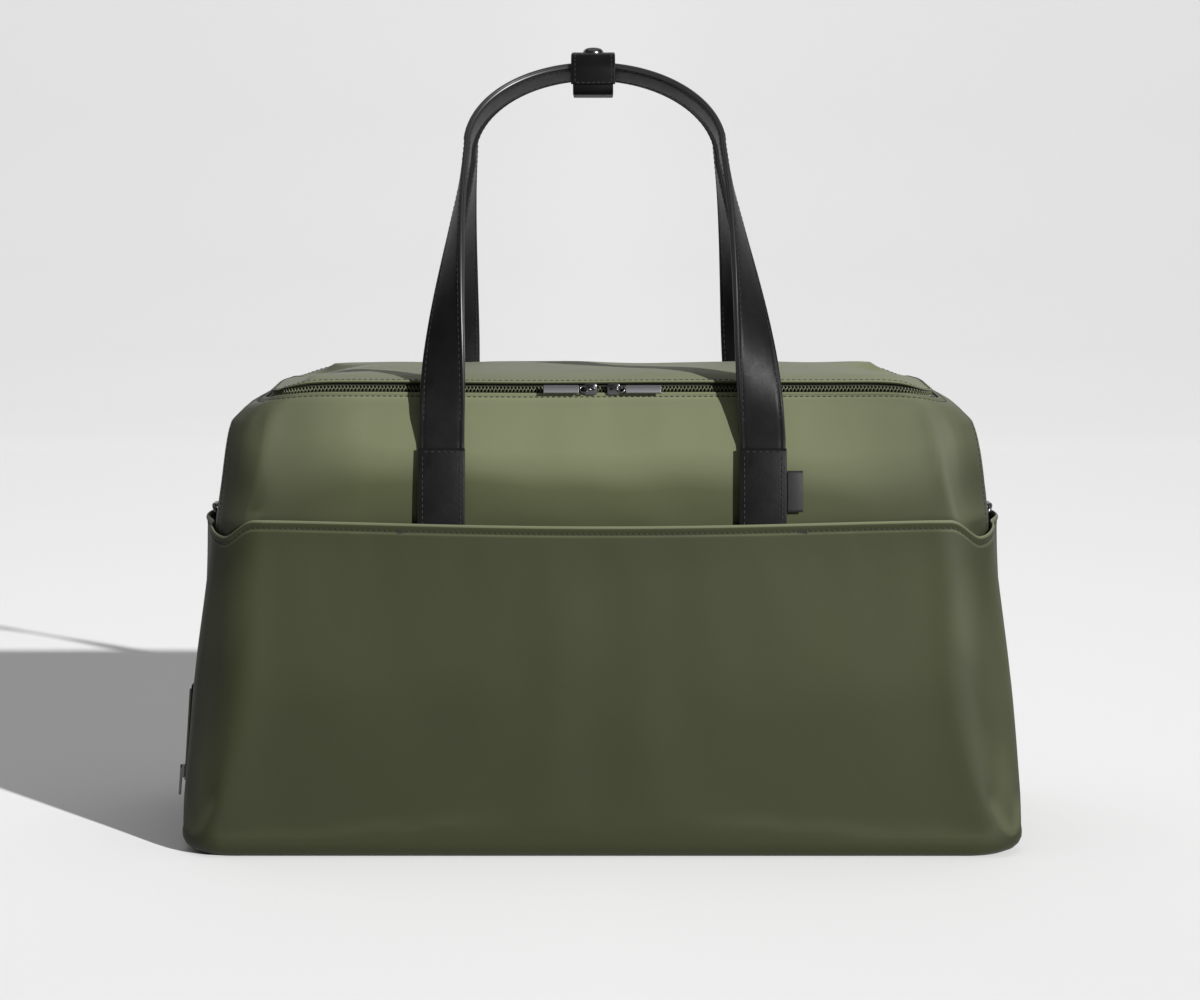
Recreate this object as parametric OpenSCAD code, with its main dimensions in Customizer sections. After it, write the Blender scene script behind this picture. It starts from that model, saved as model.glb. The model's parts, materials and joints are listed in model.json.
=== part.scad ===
// Weekender bag: soft nylon shell with outer pockets, a top flap closed by a two-way zip,
// two leather handles held together by a snap wrap, and a D-ring at each end.
// Millimetres. Origin at the middle of the base on the floor, X along the bag, front at -Y, Z up.

/* [Body] */
// Length of the bag near its base, over the pockets
base_length = 542; // [530:1:555]
// Depth of the bag near its base, over the pockets
base_depth = 268; // [260:1:276]
// Height of the gap between the two rows of zip teeth
zip_height = 298; // [294:1:302]
// Length of the shell at the zip
rim_length = 427; // [415:1:440]
// Depth of the shell at the zip
rim_depth = 208; // [204:1:212]
// Radius of the corners seen from above
corner_radius = 46; // [42:1:50]
// Rounding of the bottom edge under the pockets
edge_round = 36; // [30:1:40]

/* [Pockets] */
// Top of the front and back pocket hems
hem_height = 215; // [212:1:217]
// Top of the side pocket hems
side_hem_height = 208; // [206:1:209]
// Height of the folded hem band
hem_band = 6; // [4:0.5:8]
// Distance from the outside of a pocket to the shell behind it
pocket_depth = 8; // [7.5:0.1:8.5]
// How far the middle of each side pocket's mouth stands open
mouth_gape = 5; // [4:0.5:6]

/* [Handles] */
// Distance of each strap from the middle of the bag
strap_spacing = 102; // [98:1:106]
// Width of the leather straps
strap_width = 29; // [27:0.5:31]
// Thickness of the leather straps, both layers
strap_thickness = 4; // [3.6:0.1:4.4]
// Height of the middle of the strap at the top of the arch
handle_top = 503; // [495:1:510]
// Half width of the arch where it starts
arch_half_width = 83; // [80:1:86]
// Sideways lean of the top of the handles
handle_lean = -6; // [-8:1:8]

/* [Zip] */
// Distance of each slider from the middle when the zip is closed
slider_offset = 8; // [7:0.5:10]
// Length of a pull tab
pull_length = 29; // [26:1:32]

/* [Hidden] */

olive = "#5c6145";
olive_dark = "#464b33";
lining_grey = "#8b8c86";
leather_black = "#222223";
gunmetal = "#4b4c50";
board_grey = "#6d6a63";

clearance = 0.3;
fabric = 1.5;            // thickness of an outer pocket panel
shell_cloth = 1.2;       // thickness of the main shell cloth
foam = 2.4;
lining_cloth = 0.8;
bottom_thickness = 2.5;
board_thickness = 2.4;

// Insets of each layer's outer face, measured in from the outside of the pockets
shell_inset = pocket_depth;
foam_inset = shell_inset + shell_cloth + clearance;
lining_inset = foam_inset + foam + clearance;
lining_back = lining_inset + lining_cloth;

hem_half_length = base_length / 2 - 12.5;
hem_half_depth = base_depth / 2 - 0.5;
end_lean = 12;                 // how far the ends lean in above the hem before the shoulder
front_lean = 14;
end_shoulder = hem_half_length - rim_length / 2 - shell_inset - end_lean;
front_shoulder = hem_half_depth - rim_depth / 2 - shell_inset - front_lean;
end_shoulder_power = 7;
front_shoulder_power = 3;
depth_round = 0.78 * edge_round;

// Sides of the plan in the order front, right, back, left. Each is one unit of u long, and
// half of each corner arc takes arc_share of it.
arc_share = 0.2;
u_step = 0.05;

function clamp01(v) = max(0, min(1, v));
function blend(a, b, t) = a + (b - a) * t;
function rise(z) = clamp01((z - hem_height) / (zip_height - hem_height));
function edge_cut(z, r) = z < r ? r * (1 - sqrt(max(0, 1 - pow((r - z) / r, 2)))) : 0;
function flare(z, r) = clamp01((z - r) / (hem_height - r));
function half_length(z) =
  blend(base_length / 2, hem_half_length, flare(z, edge_round))
  - end_lean * rise(z) - end_shoulder * pow(rise(z), end_shoulder_power)
  - edge_cut(z, edge_round);
function half_depth(z) =
  blend(base_depth / 2, hem_half_depth, flare(z, depth_round))
  - front_lean * rise(z) - front_shoulder * pow(rise(z), front_shoulder_power)
  - edge_cut(z, depth_round);

// Distance along a side from its middle, and distance out from the bag's middle
function along(f, reach, r) =
  f < arc_share ? -(reach - r) - r * sin(45 * (1 - f / arc_share))
  : f > 1 - arc_share ? (reach - r) + r * sin(45 * (f - 1 + arc_share) / arc_share)
  : (reach - r) * (2 * (f - arc_share) / (1 - 2 * arc_share) - 1);
function outward(f, reach, r) =
  f < arc_share ? reach - r + r * cos(45 * (1 - f / arc_share))
  : f > 1 - arc_share ? reach - r + r * cos(45 * (f - 1 + arc_share) / arc_share)
  : reach;
function plan_point(u, z, inset) =
  let (
    turn = (u + 8) % 4,
    side = floor(turn + 0.0001),
    f = max(0, turn - side),
    long = half_length(z) - inset,
    deep = half_depth(z) - inset,
    r = corner_radius - inset,
    is_long = side == 0 || side == 2,
    a = along(f, is_long ? long : deep, r),
    o = outward(f, is_long ? deep : long, r)
  )
  side == 0 ? [a, -o] : side == 1 ? [o, a] : side == 2 ? [-a, o] : [-o, -a];
function shell_point(u, z, inset) = let (p = plan_point(u, z, inset)) [p.x, p.y, z];

// Closed solid between two grids of points, each with the given rows and columns
module skin_solid(outer, inner, rows, columns) {
  count = (rows + 1) * (columns + 1);
  function at(r, c) = r * (columns + 1) + c;
  outer_faces = [
    for (r = [0 : rows - 1], c = [0 : columns - 1], half = [0, 1])
      half == 0
        ? [at(r, c), at(r + 1, c), at(r + 1, c + 1)]
        : [at(r, c), at(r + 1, c + 1), at(r, c + 1)]
  ];
  inner_faces = [for (f = outer_faces) [f[0] + count, f[2] + count, f[1] + count]];
  rim = concat(
    [for (c = [0 : columns - 1]) at(0, c)],
    [for (r = [0 : rows - 1]) at(r, columns)],
    [for (c = [columns : -1 : 1]) at(rows, c)],
    [for (r = [rows : -1 : 1]) at(r, 0)]
  );
  side_faces = [
    for (i = [0 : len(rim) - 1], half = [0, 1])
      let (a = rim[i], b = rim[(i + 1) % len(rim)])
        half == 0 ? [a, b, b + count] : [a, b + count, a + count]
  ];
  polyhedron(concat(outer, inner), concat(outer_faces, inner_faces, side_faces));
}

// How far a side pocket's mouth stands open: most at the middle of its hem, none at the corners
gape_low = 100;
function gape(u, z) =
  let (
    f = u - floor(u),
    middle = clamp01((f - arc_share) / (1 - 2 * arc_share)),
    climb = clamp01((z - gape_low) / (side_hem_height - gape_low))
  )
  mouth_gape * pow(sin(180 * middle) * climb, 2);

// Height of a row: close together near the base and the zip, with one row at the hem's height
function row_height(t, low, high) =
  high <= hem_height ? blend(low, high, pow(t, 1.5))
  : low >= hem_height ? blend(low, high, t)
  : t < 0.5 ? blend(low, hem_height, pow(2 * t, 1.5))
  : blend(hem_height, high, pow(2 * t - 1, 0.7));

// Part of the bag's wall between two heights and two insets, from u_from to u_to around the plan
module wall(u_from, u_to, z_from, z_to, outer_inset, inner_inset, rows = 12, columns = 0, gaping = 0) {
  steps = columns > 0 ? columns : round((u_to - u_from) / u_step);
  function grid(inset) = [
    for (r = [0 : rows], c = [0 : steps])
      let (u = blend(u_from, u_to, c / steps), z = row_height(r / rows, z_from, z_to))
        shell_point(u, z, inset - gaping * gape(u, z))
  ];
  skin_solid(grid(outer_inset), grid(inner_inset), rows, steps);
}

panel_bottom = bottom_thickness + clearance;
shell_top = zip_height - 3.7;
shell_rows = 16;
module shell_wall(side) {
  color(olive)
    wall(side, side + 1, panel_bottom, shell_top, shell_inset, shell_inset + shell_cloth, rows = shell_rows);
}

module pocket_wall(side, top) {
  color(olive)
    wall(side, side + 1, panel_bottom, top - hem_band - clearance, 0, fabric, gaping = side % 2);
}

hem_proud = 0.8;
module hem_wall(side, top) {
  color(olive_dark)
    wall(side, side + 1, top - hem_band, top, -hem_proud, fabric, rows = 2, gaping = side % 2);
}

module plan_plate(z_low, z_high, plan_height, inset) {
  translate([0, 0, z_low])
    linear_extrude(z_high - z_low)
      polygon([for (u = [0 : u_step : 4 - u_step / 2]) plan_point(u, plan_height, inset)]);
}

module bottom_panel() {
  color(olive_dark) plan_plate(0, bottom_thickness, bottom_thickness, 0);
}

module base_board() {
  low = bottom_thickness + clearance;
  color(board_grey) plan_plate(low, low + board_thickness, low, lining_back + clearance);
}

module base_lining() {
  low = bottom_thickness + board_thickness + 2 * clearance;
  color(lining_grey) plan_plate(low, low + lining_cloth, low, lining_back + clearance);
}

module front_panel() { shell_wall(0); }
module right_end_panel() { shell_wall(1); }
module back_panel() { shell_wall(2); }
module left_end_panel() { shell_wall(3); }

seam_gap = 0.004;        // gap between neighbouring layers at the corner seams, in units of u
inner_bottom = row_height(1 / shell_rows, panel_bottom, shell_top);
inner_top = zip_height - 36;
module four_walls(outer_inset, inner_inset, rows) {
  for (side = [0 : 3])
    wall(side + seam_gap, side + 1 - seam_gap, inner_bottom, inner_top, outer_inset, inner_inset,
      rows, columns = 20);
}

module wall_foam() { color(board_grey) four_walls(foam_inset, foam_inset + foam, 6); }
module wall_lining() { color(lining_grey) four_walls(lining_inset, lining_back, 6); }

// Slip pocket on the inside of the back wall, open at its top
inner_pocket_low = 110;
inner_pocket_high = hem_height - 3;
inner_pocket_room = 6;
inner_pocket_half = 0.22;       // half its width, in units of u
module inner_pocket() {
  front = lining_back + clearance;
  back = front + inner_pocket_room + lining_cloth;
  color(lining_grey)
    difference() {
      wall(2.5 - inner_pocket_half, 2.5 + inner_pocket_half, inner_pocket_low, inner_pocket_high,
        front, back, rows = 4, columns = 4);
      wall(2.51 - inner_pocket_half, 2.49 + inner_pocket_half, inner_pocket_low + 3,
        inner_pocket_high + 5, front - 1, back - lining_cloth, rows = 4, columns = 4);
    }
}

module inner_pocket_binding() {
  inset = lining_back + clearance + inner_pocket_room;
  color(olive_dark)
    wall(2.5 - inner_pocket_half, 2.5 + inner_pocket_half, inner_pocket_high + clearance,
      inner_pocket_high + 8, inset, inset + 1.2, rows = 1, columns = 4);
}

module front_pocket() { pocket_wall(0, hem_height); }
module front_pocket_hem() { hem_wall(0, hem_height); }
module back_pocket() { pocket_wall(2, hem_height); }
module back_pocket_hem() { hem_wall(2, hem_height); }
module right_side_pocket() { pocket_wall(1, side_hem_height); }
module right_side_hem() { hem_wall(1, side_hem_height); }
module left_side_pocket() { pocket_wall(3, side_hem_height); }
module left_side_hem() { hem_wall(3, side_hem_height); }

// Short dense rows of stitches that end each pocket mouth
tack_spacing = 127;
tack_length = 7;
module pocket_bar_tacks() {
  low = hem_height - hem_band / 2 - 0.7;
  color(olive_dark)
    for (side = [-1, 1], x = [-tack_spacing, tack_spacing])
      translate([x - tack_length / 2, side * (hem_half_depth + hem_proud + 0.9) - 0.4, low])
        cube([tack_length, 0.8, 1.4]);
}

// Band on the back that slips over a suitcase handle, open at its top and bottom
sleeve_low = 72;
sleeve_high = 188;
sleeve_room = 7.5;
sleeve_half = 0.135;            // half its width, in units of u
module trolley_sleeve() {
  color(olive)
    difference() {
      wall(2.5 - sleeve_half, 2.5 + sleeve_half, sleeve_low, sleeve_high,
        -clearance - sleeve_room - fabric, -clearance, rows = 4, columns = 4);
      wall(2.504 - sleeve_half, 2.496 + sleeve_half, sleeve_low - 5, sleeve_high + 5,
        -clearance - sleeve_room, 3, rows = 4, columns = 4);
    }
}

module trolley_sleeve_binding() {
  outer = -clearance - sleeve_room - fabric - 0.3;
  color(olive_dark)
    for (low = [sleeve_low - hem_band - clearance, sleeve_high + clearance])
      wall(2.5 - sleeve_half, 2.5 + sleeve_half, low, low + hem_band, outer, outer + fabric,
        rows = 1, columns = 4);
}

// The flap of the top: one ring of points per step from the edge to the middle
top_edge_low = zip_height + 5.2;
top_rise = 1.6;
top_crown = 1;
top_cloth = 1.8;
top_rings = [1, 0.993, 0.975, 0.94, 0.8, 0.5];
top_columns = round(4 / u_step);
function top_height(q) =
  let (fall = clamp01((q - 0.93) / 0.07))
  top_edge_low + top_rise * sqrt(max(0, 1 - fall * fall)) + top_crown * (1 - q * q);
function top_ring(q, drop, inset) = [
  for (c = [0 : top_columns - 1])
    let (p = plan_point(c * u_step, zip_height, inset)) [p.x * q, p.y * q, top_height(q) - drop]
];

// Crowned plate between two drops below the top's outside
module top_plate(drop_high, drop_low, inset) {
  rings = len(top_rings);
  upper = [for (q = top_rings) each top_ring(q, drop_high, inset)];
  lower = [for (q = top_rings) each top_ring(q, drop_low, inset)];
  half = len(upper);
  middle_upper = 2 * half;
  middle_lower = middle_upper + 1;
  function at(r, c) = r * top_columns + c % top_columns;
  function quad(a, b, c, d) = [[a, b, c], [a, c, d]];
  faces = [
    for (r = [0 : rings - 2], c = [0 : top_columns - 1])
      each concat(
        quad(at(r, c), at(r + 1, c), at(r + 1, c + 1), at(r, c + 1)),
        quad(half + at(r, c), half + at(r, c + 1), half + at(r + 1, c + 1), half + at(r + 1, c))
      ),
    for (c = [0 : top_columns - 1])
      each concat(
        [[at(rings - 1, c), middle_upper, at(rings - 1, c + 1)]],
        [[half + at(rings - 1, c), half + at(rings - 1, c + 1), middle_lower]],
        quad(at(0, c), at(0, c + 1), half + at(0, c + 1), half + at(0, c))
      )
  ];
  centre = top_height(0);
  points = concat(upper, lower, [[0, 0, centre - drop_high], [0, 0, centre - drop_low]]);
  polyhedron(points, faces);
}

module top_panel() { color(olive) top_plate(0, top_cloth, shell_inset); }
module top_lining() {
  high = top_cloth + clearance;
  color(lining_grey) top_plate(high, high + lining_cloth, shell_inset + 18);
}

// The zip runs along the front and round both ends, from u = -zip_wrap to 1 + zip_wrap
zip_wrap = 0.7;
teeth_gap = 1.2;
teeth_height = 2.5;
teeth_depth = 2.4;
tape = 0.6;
module zip_band(z_from, z_to, outer_inset, inner_inset, rows = 2) {
  wall(-zip_wrap, 1 + zip_wrap, z_from, z_to, outer_inset, inner_inset, rows);
}

module zip_teeth_body() {
  high = zip_height - teeth_gap / 2;
  color(olive_dark)
    zip_band(high - teeth_height, high, shell_inset, shell_inset + teeth_depth);
}

module zip_tape_body() {
  front = shell_inset + teeth_depth + clearance;
  color(olive)
    zip_band(shell_top + clearance, zip_height - teeth_gap, front, front + tape, rows = 1);
}

module zip_teeth_top() {
  low = zip_height + teeth_gap / 2;
  color(olive_dark)
    zip_band(low, low + teeth_height, shell_inset, shell_inset + teeth_depth, rows = 1);
}

module zip_tape_top() {
  front = shell_inset + teeth_depth + clearance;
  color(olive)
    zip_band(zip_height + teeth_gap, top_edge_low - 1, front, front + tape, rows = 1);
}

module zip_end_stops() {
  color(gunmetal)
    for (u = [-zip_wrap - 0.03, 1 + zip_wrap + 0.005])
      wall(u, u + 0.025, shell_top + clearance, zip_height - teeth_gap / 2, shell_inset,
        shell_inset + 2.5, rows = 1, columns = 2);
}

// A slider: plates in front of and behind the teeth, joined by a post between the two rows
slider_length = 10;
slider_height = 9;
plate = 1.6;
slider_face = half_depth(zip_height - slider_height / 2) - shell_inset + 0.8;
slider_back = rim_depth / 2 - teeth_depth - tape - 2 * clearance - 0.5;
post_thickness = 0.7;
pull_tilt = 24;
pull_thickness = 1.6;
pull_width = 5;
pin_radius = 0.8;
pull_hole = 1.0;
pull_pivot_x = slider_offset + 3;
pull_pivot_y = -(slider_face + plate + 2.1);

module slider_solid() {
  corner = 2;
  width = slider_length - 2 * corner;
  for (y = [-slider_face - plate, -slider_back]) {
    translate([slider_offset - slider_length / 2 + corner, y, zip_height - slider_height / 2])
      cube([width, plate, slider_height]);
    translate([slider_offset - slider_length / 2, y, zip_height - slider_height / 2 + corner])
      cube([slider_length, plate, slider_height - 2 * corner]);
    for (x = [-1, 1], z = [-1, 1])
      translate([
        slider_offset + x * width / 2,
        y + plate,
        zip_height + z * (slider_height / 2 - corner)
      ])
        rotate([90, 0, 0]) cylinder(h = plate, r = corner, $fn = 32);
  }
  translate([slider_offset - slider_length / 2, -slider_face - plate / 2, zip_height - post_thickness / 2])
    cube([3, slider_face + plate / 2 - slider_back + plate / 2, post_thickness]);
  translate([pull_pivot_x, pull_pivot_y, zip_height])
    rotate([90 - pull_tilt, 0, 0])
      translate([0, 0, -3.4]) cylinder(h = 4.8, r = pin_radius, $fn = 32);
}

// A pull: a flat bar with rounded ends that swivels on the slider's pin
module pull_solid() {
  translate([pull_pivot_x, pull_pivot_y, zip_height])
    rotate([90 - pull_tilt, 0, 0])
      translate([0, 0, -pull_thickness / 2])
        difference() {
          union() {
            translate([0, -pull_width / 2, 0])
              cube([pull_length - pull_width, pull_width, pull_thickness]);
            for (x = [0, pull_length - pull_width])
              translate([x, 0, 0]) cylinder(h = pull_thickness, r = pull_width / 2, $fn = 48);
          }
          translate([0, 0, -1]) cylinder(h = pull_thickness + 2, r = pull_hole, $fn = 48);
        }
}

module right_slider() { color(gunmetal) slider_solid(); }
module left_slider() { color(gunmetal) mirror([1, 0, 0]) slider_solid(); }
module right_pull() { color(gunmetal) pull_solid(); }
module left_pull() { color(gunmetal) mirror([1, 0, 0]) pull_solid(); }

// Zip of the compartment in the left end, low down beside the front corner
end_zip_low = 38;
end_zip_high = 104;
end_zip_u = 3.77;
end_tape_half = 0.018;
end_teeth_half = 0.007;
module end_zip_tape() {
  color(olive)
    wall(end_zip_u - end_tape_half, end_zip_u + end_tape_half, end_zip_low, end_zip_high,
      -clearance - tape, -clearance, rows = 2, columns = 1);
}

teeth_proud = 2 * clearance + tape;
module end_zip_teeth() {
  color(olive_dark)
    wall(end_zip_u - end_teeth_half, end_zip_u + end_teeth_half, end_zip_low + 3, end_zip_high - 3,
      -teeth_proud - 1.2, -teeth_proud, rows = 2, columns = 1);
}

end_slider_z = end_zip_low + 9;
end_slope = atan((half_length(end_zip_low) - half_length(end_zip_high)) / (end_zip_high - end_zip_low));
module end_slider_frame() {
  p = shell_point(end_zip_u, end_slider_z, -teeth_proud - 1.2 - clearance);
  translate(p) rotate([0, end_slope, 0]) children();
}

module end_zip_slider() {
  color(gunmetal)
    end_slider_frame() {
      translate([-1.4, -3, -4.5]) cube([1.4, 6, 9]);
      translate([-3, 0, 2]) rotate([0, 90, 0]) cylinder(h = 2, r = pin_radius, $fn = 32);
    }
}

end_pull_length = 20;
module end_zip_pull() {
  color(gunmetal)
    end_slider_frame()
      translate([-2.9, 0, 2])
        rotate([0, 90, 0])
          difference() {
            union() {
              translate([0, -2, 0]) cube([end_pull_length - 2, 4, 1.2]);
              cylinder(h = 1.2, r = 2, $fn = 32);
            }
            translate([0, 0, -1]) cylinder(h = 4, r = pull_hole, $fn = 48);
          }
}

// Leather patches that hold the handles, with their lower ends inside the pocket mouths
patch_low = hem_height - 9;
patch_high = hem_height + 45.9;
patch_thickness = 3;
patch_rows = 5;
module handle_patch(x, side) {
  function height(r) = r == 0 ? patch_low : blend(hem_height, patch_high, (r - 1) / (patch_rows - 1));
  function face(out) = [
    for (r = [0 : patch_rows], c = [0, 1])
      [
        x + (side < 0 ? 1 : -1) * (c - 0.5) * (strap_width + 1),
        side * (half_depth(height(r)) - shell_inset + clearance + out),
        height(r)
      ]
  ];
  color(leather_black) skin_solid(face(patch_thickness), face(0), patch_rows, 1);
}

module front_left_patch() { handle_patch(-strap_spacing, -1); }
module front_right_patch() { handle_patch(strap_spacing, -1); }
module rear_left_patch() { handle_patch(-strap_spacing, 1); }
module rear_right_patch() { handle_patch(strap_spacing, 1); }

// Blank folded tag sewn in beside the front right patch
tag_width = 10;
tag_low = hem_height + 6;
tag_high = hem_height + 32;
module side_tag() {
  left = strap_spacing + (strap_width + 1) / 2 + clearance;
  function face(out) = [
    for (z = [tag_low, tag_high], x = [left, left + tag_width])
      [x, -(half_depth(z) - shell_inset + clearance + out), z]
  ];
  color(leather_black) skin_solid(face(1.4), face(0), 1, 1);
}

// Handle path: a leg from the patch that turns edge on, then half an ellipse over the top
strap_stand_off = 2.1;   // room between the shell and a strap where it leaves its patch
pivot_z = patch_high + 4.8;
pivot_y = -(half_depth(pivot_z) - shell_inset + strap_stand_off + strap_thickness / 2);
strap_start = pivot_z + 0.3;
arch_start = handle_top - 53;
top_y = -(strap_width / 2 + 0.8);
twist_start = patch_high + 23.1;
top_tilt = 16;
leg_steps = 14;
arch_steps = 12;
bow_low = [pivot_y - 7, pivot_z + 48];
bow_high = [-74, pivot_z + 138];

function bezier(a, b, c, d, t) =
  pow(1 - t, 3) * a + 3 * pow(1 - t, 2) * t * b + 3 * (1 - t) * t * t * c + t * t * t * d;
function path_y(z) =
  let (t = clamp01((z - pivot_z) / (handle_top - pivot_z)))
  bezier(pivot_y, bow_low[0], bow_high[0], top_y, t);
function leg_x(z) =
  let (t = clamp01((z - strap_start) / (arch_start - strap_start)))
  blend(strap_spacing, arch_half_width, 0.35 * t + 0.65 * t * t);
function lean_x(z) = handle_lean * (z - strap_start) / (handle_top - strap_start);
function twist(z) =
  let (s = clamp01((z - twist_start) / (arch_start - twist_start)))
  45 * (s + sin(90 * s));

// Stations run from the left patch (0) over the top to the right patch (last)
half_steps = leg_steps + arch_steps;
function station_xz(i) =
  let (
    j = i <= half_steps ? i : 2 * half_steps - i,
    sign = i <= half_steps ? -1 : 1,
    t = j / leg_steps,
    a = 90 * (j - leg_steps) / arch_steps,
    z = j <= leg_steps ? blend(strap_start, arch_start, t)
      : arch_start + (handle_top - arch_start) * sin(a),
    x = j <= leg_steps ? leg_x(z) : arch_half_width * cos(a)
  )
  [sign * x + lean_x(z), z];
function station(i) = let (p = station_xz(i)) [p[0], path_y(p[1]), p[1]];
function unit(v) = v / norm(v);
function tangent(i) =
  unit(station(min(2 * half_steps, i + 1)) - station(max(0, i - 1)));
function across(i) =
  let (
    turn = twist(station(i)[2]),
    flat = i <= half_steps ? [1, 0, 0] : [-1, 0, 0],
    raw = cos(turn) * flat + sin(turn) * [0, -cos(top_tilt), sin(top_tilt)],
    t = tangent(i)
  )
  unit(raw - (raw * t) * t);
function facing(i) = unit(cross(across(i), tangent(i)));

module strap_layer(from_face, to_face) {
  last = 2 * half_steps;
  function edge(out) = [
    for (w = [0.5, -0.5], i = [0 : last])
      station(i) + w * strap_width * across(i) + out * facing(i)
  ];
  skin_solid(edge(to_face), edge(from_face), 1, last);
}

layer_gap = 0.1;
module front_strap_face() {
  color(leather_black) strap_layer(layer_gap / 2, strap_thickness / 2);
}
module front_strap_backing() {
  color(leather_black) strap_layer(-strap_thickness / 2, -layer_gap / 2);
}
module rear_strap_face() {
  color(leather_black) mirror([0, 1, 0]) strap_layer(layer_gap / 2, strap_thickness / 2);
}
module rear_strap_backing() {
  color(leather_black) mirror([0, 1, 0]) strap_layer(-strap_thickness / 2, -layer_gap / 2);
}

// Leather wrap round both straps at the top: a band open at the back, closed by a snap flap
wrap_width = 29;
wrap_wall = 2.5;
wrap_front = -(strap_width + 5.5);
wrap_low = handle_top - 16;
wrap_high = handle_top + 11.5;
wrap_round = 5;
flap_low = wrap_high - wrap_wall;
band_back = 20;
flap_back = 24;
module along_wrap() {
  translate([handle_lean - wrap_width / 2, 0, 0])
    rotate([90, 0, 90]) linear_extrude(wrap_width) children();
}

module wrap_band() {
  color(leather_black)
    along_wrap() {
      translate([wrap_front, wrap_low + wrap_round])
        square([wrap_wall, flap_low - clearance - wrap_low - wrap_round]);
      translate([wrap_front + wrap_round, wrap_low])
        square([band_back - wrap_front - wrap_round, wrap_wall]);
      intersection() {
        translate([wrap_front + wrap_round, wrap_low + wrap_round])
          difference() {
            circle(r = wrap_round, $fn = 48);
            circle(r = wrap_round - wrap_wall, $fn = 48);
          }
        translate([wrap_front, wrap_low]) square(wrap_round);
      }
    }
}

module wrap_flap() {
  color(leather_black)
    along_wrap()
      translate([wrap_front, flap_low]) square([flap_back - wrap_front, wrap_wall]);
}

snap_y = -top_y;
module snap_cap() {
  color(gunmetal)
    translate([handle_lean, snap_y, wrap_high + 0.1])
      rotate_extrude($fn = 64)
        intersection() {
          translate([0, -9.5]) circle(r = 12, $fn = 96);
          square([7, 4]);
        }
}

stud_top = handle_top + 5.4;
module snap_socket() {
  color(gunmetal)
    translate([handle_lean, snap_y, stud_top + clearance])
      difference() {
        cylinder(h = flap_low - 0.1 - stud_top - clearance, r = 5.5, $fn = 64);
        translate([0, 0, -1]) cylinder(h = 2, r = 3.4, $fn = 48);
      }
}

module snap_stud() {
  color(gunmetal)
    translate([handle_lean, snap_y, handle_top + 1.5])
      cylinder(h = stud_top - handle_top - 1.5, r = 3, $fn = 48);
}

// D-rings stand in the mouths of the side pockets and lean out on the hems
ring_wire = 1.5;
ring_half = 12;
ring_height = 15;
ring_bend = 5;
ring_pivot_z = side_hem_height - 7;
ring_lean = 24;
loop_wall = 0.8;
loop_radius = ring_wire + 0.3;
ring_pivot_x = half_length(ring_pivot_z) - shell_inset + clearance + loop_radius + loop_wall;

module d_ring_solid() {
  leg = ring_height - ring_bend;
  reach = ring_half - ring_bend;
  translate([ring_pivot_x, 0, ring_pivot_z])
    rotate([0, ring_lean, 0])
      rotate([90, 0, 90]) {
        translate([-ring_half, 0, 0])
          rotate([0, 90, 0]) cylinder(h = 2 * ring_half, r = ring_wire, $fn = 32);
        for (s = [-1, 1])
          translate([s * ring_half, 0, 0]) {
            sphere(r = ring_wire, $fn = 32);
            rotate([-90, 0, 0]) cylinder(h = leg, r = ring_wire, $fn = 32);
          }
        for (s = [0, 1])
          mirror([s, 0, 0])
            translate([reach, leg, 0])
              rotate_extrude(angle = 90, $fn = 48)
                translate([ring_bend, 0]) circle(r = ring_wire, $fn = 32);
        translate([-reach, ring_height, 0])
          rotate([0, 90, 0]) cylinder(h = 2 * reach, r = ring_wire, $fn = 32);
      }
}

// Webbing tab: a loop round the ring's bar and a tail sewn to the end panel
tab_width = 18;
tab_tail = 16;
tab_slope = atan(12 / (hem_height - edge_round));
module ring_tab_solid() {
  translate([ring_pivot_x, tab_width / 2, ring_pivot_z])
    rotate([90, 0, 0])
      linear_extrude(tab_width)
        difference() {
          union() {
            circle(r = loop_radius + loop_wall, $fn = 64);
            rotate(tab_slope)
              translate([-loop_radius - loop_wall, -tab_tail]) square([loop_wall, tab_tail]);
          }
          circle(r = loop_radius, $fn = 64);
        }
}

module right_d_ring() { color(gunmetal) d_ring_solid(); }
module left_d_ring() { color(gunmetal) mirror([1, 0, 0]) d_ring_solid(); }
module right_ring_tab() { color(leather_black) ring_tab_solid(); }
module left_ring_tab() { color(leather_black) mirror([1, 0, 0]) ring_tab_solid(); }

bottom_panel();
base_board();
base_lining();
front_panel();
back_panel();
left_end_panel();
right_end_panel();
wall_foam();
wall_lining();
inner_pocket();
inner_pocket_binding();
front_pocket();
front_pocket_hem();
back_pocket();
back_pocket_hem();
left_side_pocket();
left_side_hem();
right_side_pocket();
right_side_hem();
pocket_bar_tacks();
trolley_sleeve();
trolley_sleeve_binding();
top_panel();
top_lining();
zip_tape_top();
zip_teeth_top();
zip_tape_body();
zip_teeth_body();
zip_end_stops();
left_slider();
left_pull();
right_slider();
right_pull();
end_zip_tape();
end_zip_teeth();
end_zip_slider();
end_zip_pull();
front_left_patch();
front_right_patch();
rear_left_patch();
rear_right_patch();
side_tag();
front_strap_face();
front_strap_backing();
rear_strap_face();
rear_strap_backing();
wrap_band();
wrap_flap();
snap_cap();
snap_socket();
snap_stud();
left_ring_tab();
left_d_ring();
right_ring_tab();
right_d_ring();
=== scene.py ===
"""Weekender bag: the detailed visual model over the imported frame. Metres, in the frame's own axes."""

import json
import math

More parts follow.
